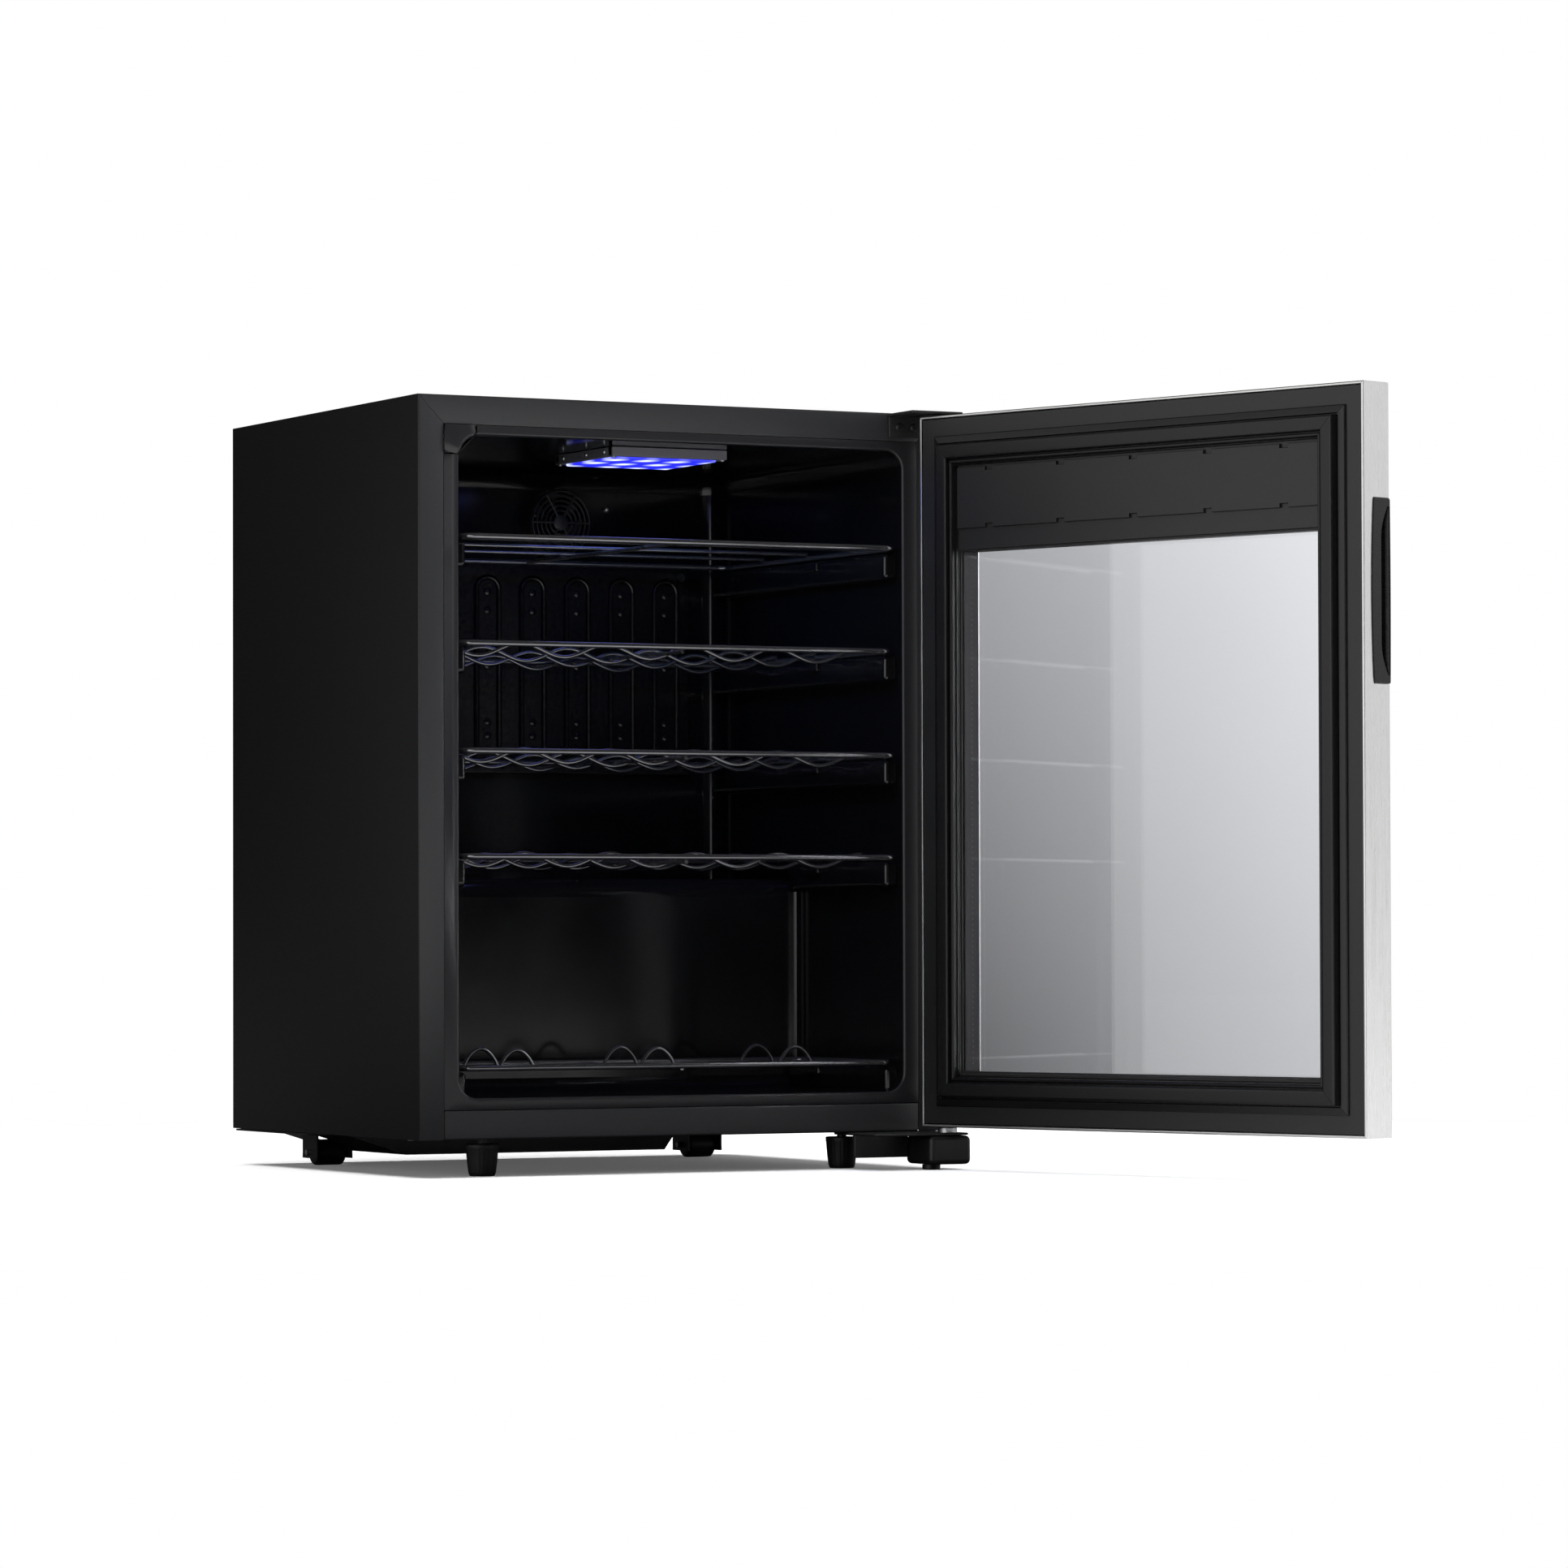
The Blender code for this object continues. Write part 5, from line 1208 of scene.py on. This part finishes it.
def upright_loft(name, rings, steps=32):
    """Closed shape from rings of (x, z0, z1, near, far); near and far give y at a height."""
    bm = bmesh.new()
    loops = []
    for x, z0, z1, near, far in rings:
        heights = [z0 + (z1 - z0) * (1 - math.cos(math.pi * step / steps)) / 2
                   for step in range(steps + 1)]
        points = [(near(z), z) for z in heights] + [(far(z), z) for z in reversed(heights)]
        loops.append([bm.verts.new((-DOOR_HALF + x, y, z)) for y, z in points])
    for loop, following in zip(loops, loops[1:]):
        for here in range(len(loop)):
            there = (here + 1) % len(loop)
            bm.faces.new([loop[here], loop[there], following[there], following[here]])
    bm.faces.new(list(reversed(loops[0])))
    bm.faces.new(loops[-1])
    return from_bmesh(name, bm)


def flange_ring(x, inset):
    z0, z1 = flange_z0 + inset, flange_z1 - inset

    def bow(z):
        return math.sin(math.pi * min(max((z - z0) / (z1 - z0), 0), 1))

    def rounded(z):
        short = max(CORNER - min(z - z0, z1 - z), 0)
        return CORNER - math.sqrt(max(CORNER ** 2 - short ** 2, 0))

    return (x, z0, z1, lambda z: DOOR_OUT + 0.0002 - BOW_OUT * bow(z) + inset + rounded(z),
            lambda z: handle_high.y + BOW_IN * bow(z) ** 0.7 - inset - rounded(z))


def hollow_ring(x, grow, wall):
    z0, z1 = flange_z0 + 0.0070 - grow, flange_z1 - 0.0066 + grow
    return (x, z0, z1, lambda z: DOOR_OUT + wall - grow,
            lambda z: DOOR_OUT + 0.0034 + grow
            + 0.0080 * math.sin(math.pi / 2 * min(max(min(z - z0, z1 - z) / 0.024, 0), 1)))


def finger_hollow(name):
    """The pocket, with a crescent mouth that flares a little."""
    return upright_loft(name, [hollow_ring(-0.0030, 0.0004, 0.0012),
                               hollow_ring(-0.0010, 0.0004, 0.0012),
                               hollow_ring(-0.0002, 0.0, 0.0015),
                               hollow_ring(0.0028, -0.0002, 0.0030),
                               hollow_ring(0.0195, -0.0004, 0.0030)])


flange = upright_loft("handle_flange", [flange_ring(0.0022, 0.0), flange_ring(-0.0002, 0.0),
                                        flange_ring(-0.0006, 0.00015),
                                        flange_ring(-0.0008, 0.0004),
                                        flange_ring(-0.0009, 0.0009)])
carve(flange, finger_hollow("flange_hollow"))
door_piece(flange, smooth_black, "black_plastic", "pocket_handle")
handle = blocks("handle_cup", ((-DOOR_HALF + 0.0010, DOOR_OUT + 0.0021, flange_z0 + 0.0020),
                               (handle_high.x, handle_high.y - 0.0007, flange_z1 - 0.0020)))
carve(handle, finger_hollow("cup_hollow"))
door_piece(handle, smooth_black, "black_plastic")

# %% [markdown]
# ## Hinges and feet
# Plain pressed brackets carry the door above and below. Under the bottom one sits a
# plastic block with its own small foot, because a door this heavy would tip a light case.

# %% Hinge parts
tb_low, tb_high = case_box("top_hinge_bracket")
case_piece(blocks("top_bracket_plate",
                  ((tb_low.x, tb_low.y, 0.6287), (tb_high.x, -0.0003, tb_high.z)),
                  radius=0.0008, segments=3), black_metal, "painted_steel", "top_hinge_bracket")
case_piece(blocks("top_bracket_leg",
                  ((tb_low.x + 0.0005, -0.0025, 0.6115), (tb_high.x - 0.0005, -0.0004, 0.630)),
                  radius=0.0006, segments=3), black_metal, "painted_steel", "top_hinge_bracket")
PIN_X, PIN_Y = 0.2282, -0.0304
top_pin = turned("top_pin", [(0, 0.6125), (0.0026, 0.6125), (0.003, 0.6130), (0.003, 0.6295),
                             (0, 0.6295)], (PIN_X, PIN_Y, 0))
case_piece(top_pin, zinc, "zinc_steel", "top_hinge_bracket")
screw_heads("top_leg_screws", [(x, -0.0025, 0.620) for x in (0.200, 0.214)], '-Y', 0.0035,
            "case", material=black_metal)

bb_low, bb_high = case_box("bottom_hinge_bracket")
case_piece(blocks("bottom_bracket_plate",
                  ((bb_low.x, bb_low.y, 0.0286), (bb_high.x, 0.024, 0.0307)),
                  ((0.1505, -0.012, 0.010), (0.2012, -0.008, 0.0295)), radius=0.0008,
                  segments=3), black_metal, "painted_steel", "bottom_hinge_bracket")
hub_line = [(0, 0.0300), (0.008, 0.0300), (0.008, 0.0342), (0.0072, 0.0350), (0.003, 0.0350),
            (0.003, 0.0495), (0.0024, 0.0500), (0, 0.0500)]
case_piece(turned("bottom_pin", hub_line, (PIN_X, PIN_Y, 0)), zinc, "zinc_steel",
           "bottom_hinge_bracket")
plate_spots = [(x, 0.012, 0.0286) for x in (0.170, 0.198, 0.226)]
screw_heads("bottom_bracket_screws", plate_spots, '-Z', 0.004, "case")
base_spots = [(x, 0.060, 0.0312) for x in (-0.192, -0.207, -0.220)]
screw_heads("base_screws", base_spots, '-Z', 0.004, "case")
block_low, block_high = case_box("bottom_hinge_block")
case_piece(blocks("hinge_block_cover", (block_low, block_high), radius=0.0042, segments=6),
           moulded, "black_plastic", "bottom_hinge_block")
foot_low, foot_high = case_box("hinge_foot")
foot_line = [(0, 0), (0.0068, 0), (0.0075, 0.0008), (0.0075, foot_high.z), (0, foot_high.z)]
case_piece(turned("hinge_block_foot", foot_line, (0.213, -0.030, 0)), rubber, "rubber",
           "hinge_foot")

# %% [markdown]
# The levelling feet are ribbed so that fingers can turn them. The ribs are made by
# moving the points of a turned skirt in and out as they go round.


# %% Levelling feet and rollers
def ribbed_foot(node, x, y):
    profile = [(0, 0), (0.0098, 0), (0.0105, 0.0007), (0.0113, 0.0030), (0.0124, 0.0120),
               (0.0133, 0.0218), (0.0135, 0.0226), (0.0135, 0.0256), (0.0130, 0.0262),
               (0.004, 0.0262), (0.004, 0.0308), (0, 0.0308)]
    foot = turned(node + "_skirt", profile, (0, 0, 0), 'Z', 96)
    for vert in foot.data.vertices:
        radius = math.hypot(vert.co.x, vert.co.y)
        if radius > 0.011 and 0.002 < vert.co.z < 0.0222:
            turn = math.atan2(vert.co.y, vert.co.x)
            shrink = 1 - 0.028 * (0.5 + 0.5 * math.cos(24 * turn))
            vert.co.x *= shrink
            vert.co.y *= shrink
    foot.data.transform(Matrix.Translation((x, y, 0)))
    settle(foot, CASE_PLACE, moulded, node, "black_plastic", node)


def roller_wheel(node, body):
    low, high = case_box(node)
    radius = (high.z - low.z) / 2
    half = (high.x - low.x) / 2
    profile = [(0.0028, -half), (radius - 0.0016, -half), (radius - 0.0003, -half + 0.0012),
               (radius, -half + 0.003), (radius, half - 0.003),
               (radius - 0.0003, half - 0.0012), (radius - 0.0016, half), (0.0028, half)]
    centre = (low + high) / 2
    wheel = turned(node + "_wheel", profile, centre, 'X', 56)
    settle(wheel, CASE_PLACE, moulded, body, "black_plastic", node)


ribbed_foot("front_left_foot", -0.166, 0.040)
ribbed_foot("front_right_foot", 0.166, 0.040)
roller_wheel("left_roller", "left_roller")
roller_wheel("right_roller", "right_roller")

# %% [markdown]
# ## The machine at the back
# Behind and below stands the sealed compressor: two drawn steel cups welded into a
# rounded can, so a raised seam runs round its waist. Copper pipes leave it, and the tray
# on top catches and dries the defrost water.

# %% Compressor
comp_low, comp_high = case_box("compressor")
COMP_X, COMP_Y = (comp_low.x + comp_high.x) / 2, (comp_low.y + comp_high.y) / 2
can = [(0, 0.165)] + [(0.030 + 0.0255 * math.sin(math.radians(a)),
                       0.1375 + 0.0260 * math.cos(math.radians(a))) for a in range(8, 91, 9)]
can += [(0.056, 0.110), (0.0578, 0.1085), (0.058, 0.107), (0.058, 0.103), (0.0578, 0.1015),
        (0.056, 0.100), (0.055, 0.060)]
can += [(0.033 + 0.0220 * math.cos(math.radians(a)),
         0.0555 - 0.0230 * math.sin(math.radians(a))) for a in range(8, 91, 9)]
can += [(0, 0.0325)]
case_piece(turned("compressor_can", can, (COMP_X, COMP_Y, 0), 'Z', 72), shell_paint,
           "compressor_paint", "compressor")
can_feet = blocks("compressor_foot_plate", ((COMP_X - 0.074, COMP_Y - 0.052, 0.0268),
                                            (COMP_X + 0.074, COMP_Y + 0.052, 0.0350)),
                  radius=0.0015, segments=3)
case_piece(can_feet, shell_paint, "compressor_paint", "compressor")

# %% Pipes
roof = case_box("filter_drier")[1].z
suction = wires("suction_tube", [[(COMP_X - 0.0562, COMP_Y, 0.120), (-0.103, COMP_Y, 0.120)]
                                 + [(x, COMP_Y, z) for x, z in arc((-0.103, 0.133), 0.013,
                                                                   270, 180, 8)]
                                 + [(-0.116, COMP_Y, roof)]], 0.004, roundness=6)
case_piece(suction, copper, "copper", "suction_pipe")
pipe_y = 0.375
start = (COMP_X, COMP_Y + 0.0565, 0.085)
discharge_line = [start, (COMP_X, pipe_y - 0.008, 0.085)]
discharge_line += [(x, y, 0.085) for x, y in arc((COMP_X + 0.008, pipe_y - 0.008), 0.008,
                                                 180, 90, 8)]
discharge_line += [(x, pipe_y, z) for x, z in arc((0.142, 0.095), 0.010, 270, 360, 8)]
discharge_line += [(0.152, pipe_y, roof)]
case_piece(wires("discharge_tube", [discharge_line], 0.003, roundness=6), copper, "copper",
           "discharge_pipe")
drier_line = [(0, roof), (0.0022, roof), (0.0022, 0.166), (0.0040, 0.163), (0.0078, 0.159),
              (0.009, 0.154), (0.009, 0.098), (0.0078, 0.093), (0.0040, 0.089),
              (0.0022, 0.086), (0.0022, 0.070), (0, 0.070)]
case_piece(turned("filter_drier_can", drier_line, (0.120, 0.340, 0), 'Z', 40), copper, "copper",
           "filter_drier")

# %% Base upstand
bm = bmesh.new()
prism(bm, [(-0.205, 0.0296), (-0.148, 0.0118), (0.095, 0.0118), (0.108, 0.0296)], 'Y',
      0.2302, 0.2314)
upstand = from_bmesh("base_upstand", bm)
case_piece(upstand, black_metal, "zinc_steel")

# %% Remaining plain parts
plain = {
    "back_panel": enamel, "base_plate": black_metal, "bay_panel": zinc,
    "compressor_base": black_metal, "insulation_foam": foam_yellow,
    "led_board": circuit_green, "control_board": circuit_green,
    "top_door_bush": lamp_grey, "bottom_door_bush": lamp_grey, "condenser_pipe": copper,
    "grommet_front_left": rubber, "grommet_rear_left": rubber,
    "grommet_front_right": rubber, "grommet_rear_right": rubber, "relay_cover": moulded,
    "drip_tray": moulded, "cord_gland": rubber, "left_roller_bracket": black_metal,
    "right_roller_bracket": black_metal, "left_axle": zinc, "right_axle": zinc,
}
for node, material in plain.items():
    nodes[node].data.materials.clear()
    nodes[node].data.materials.append(material)
print(len(plain), "plain parts keep their own shape")
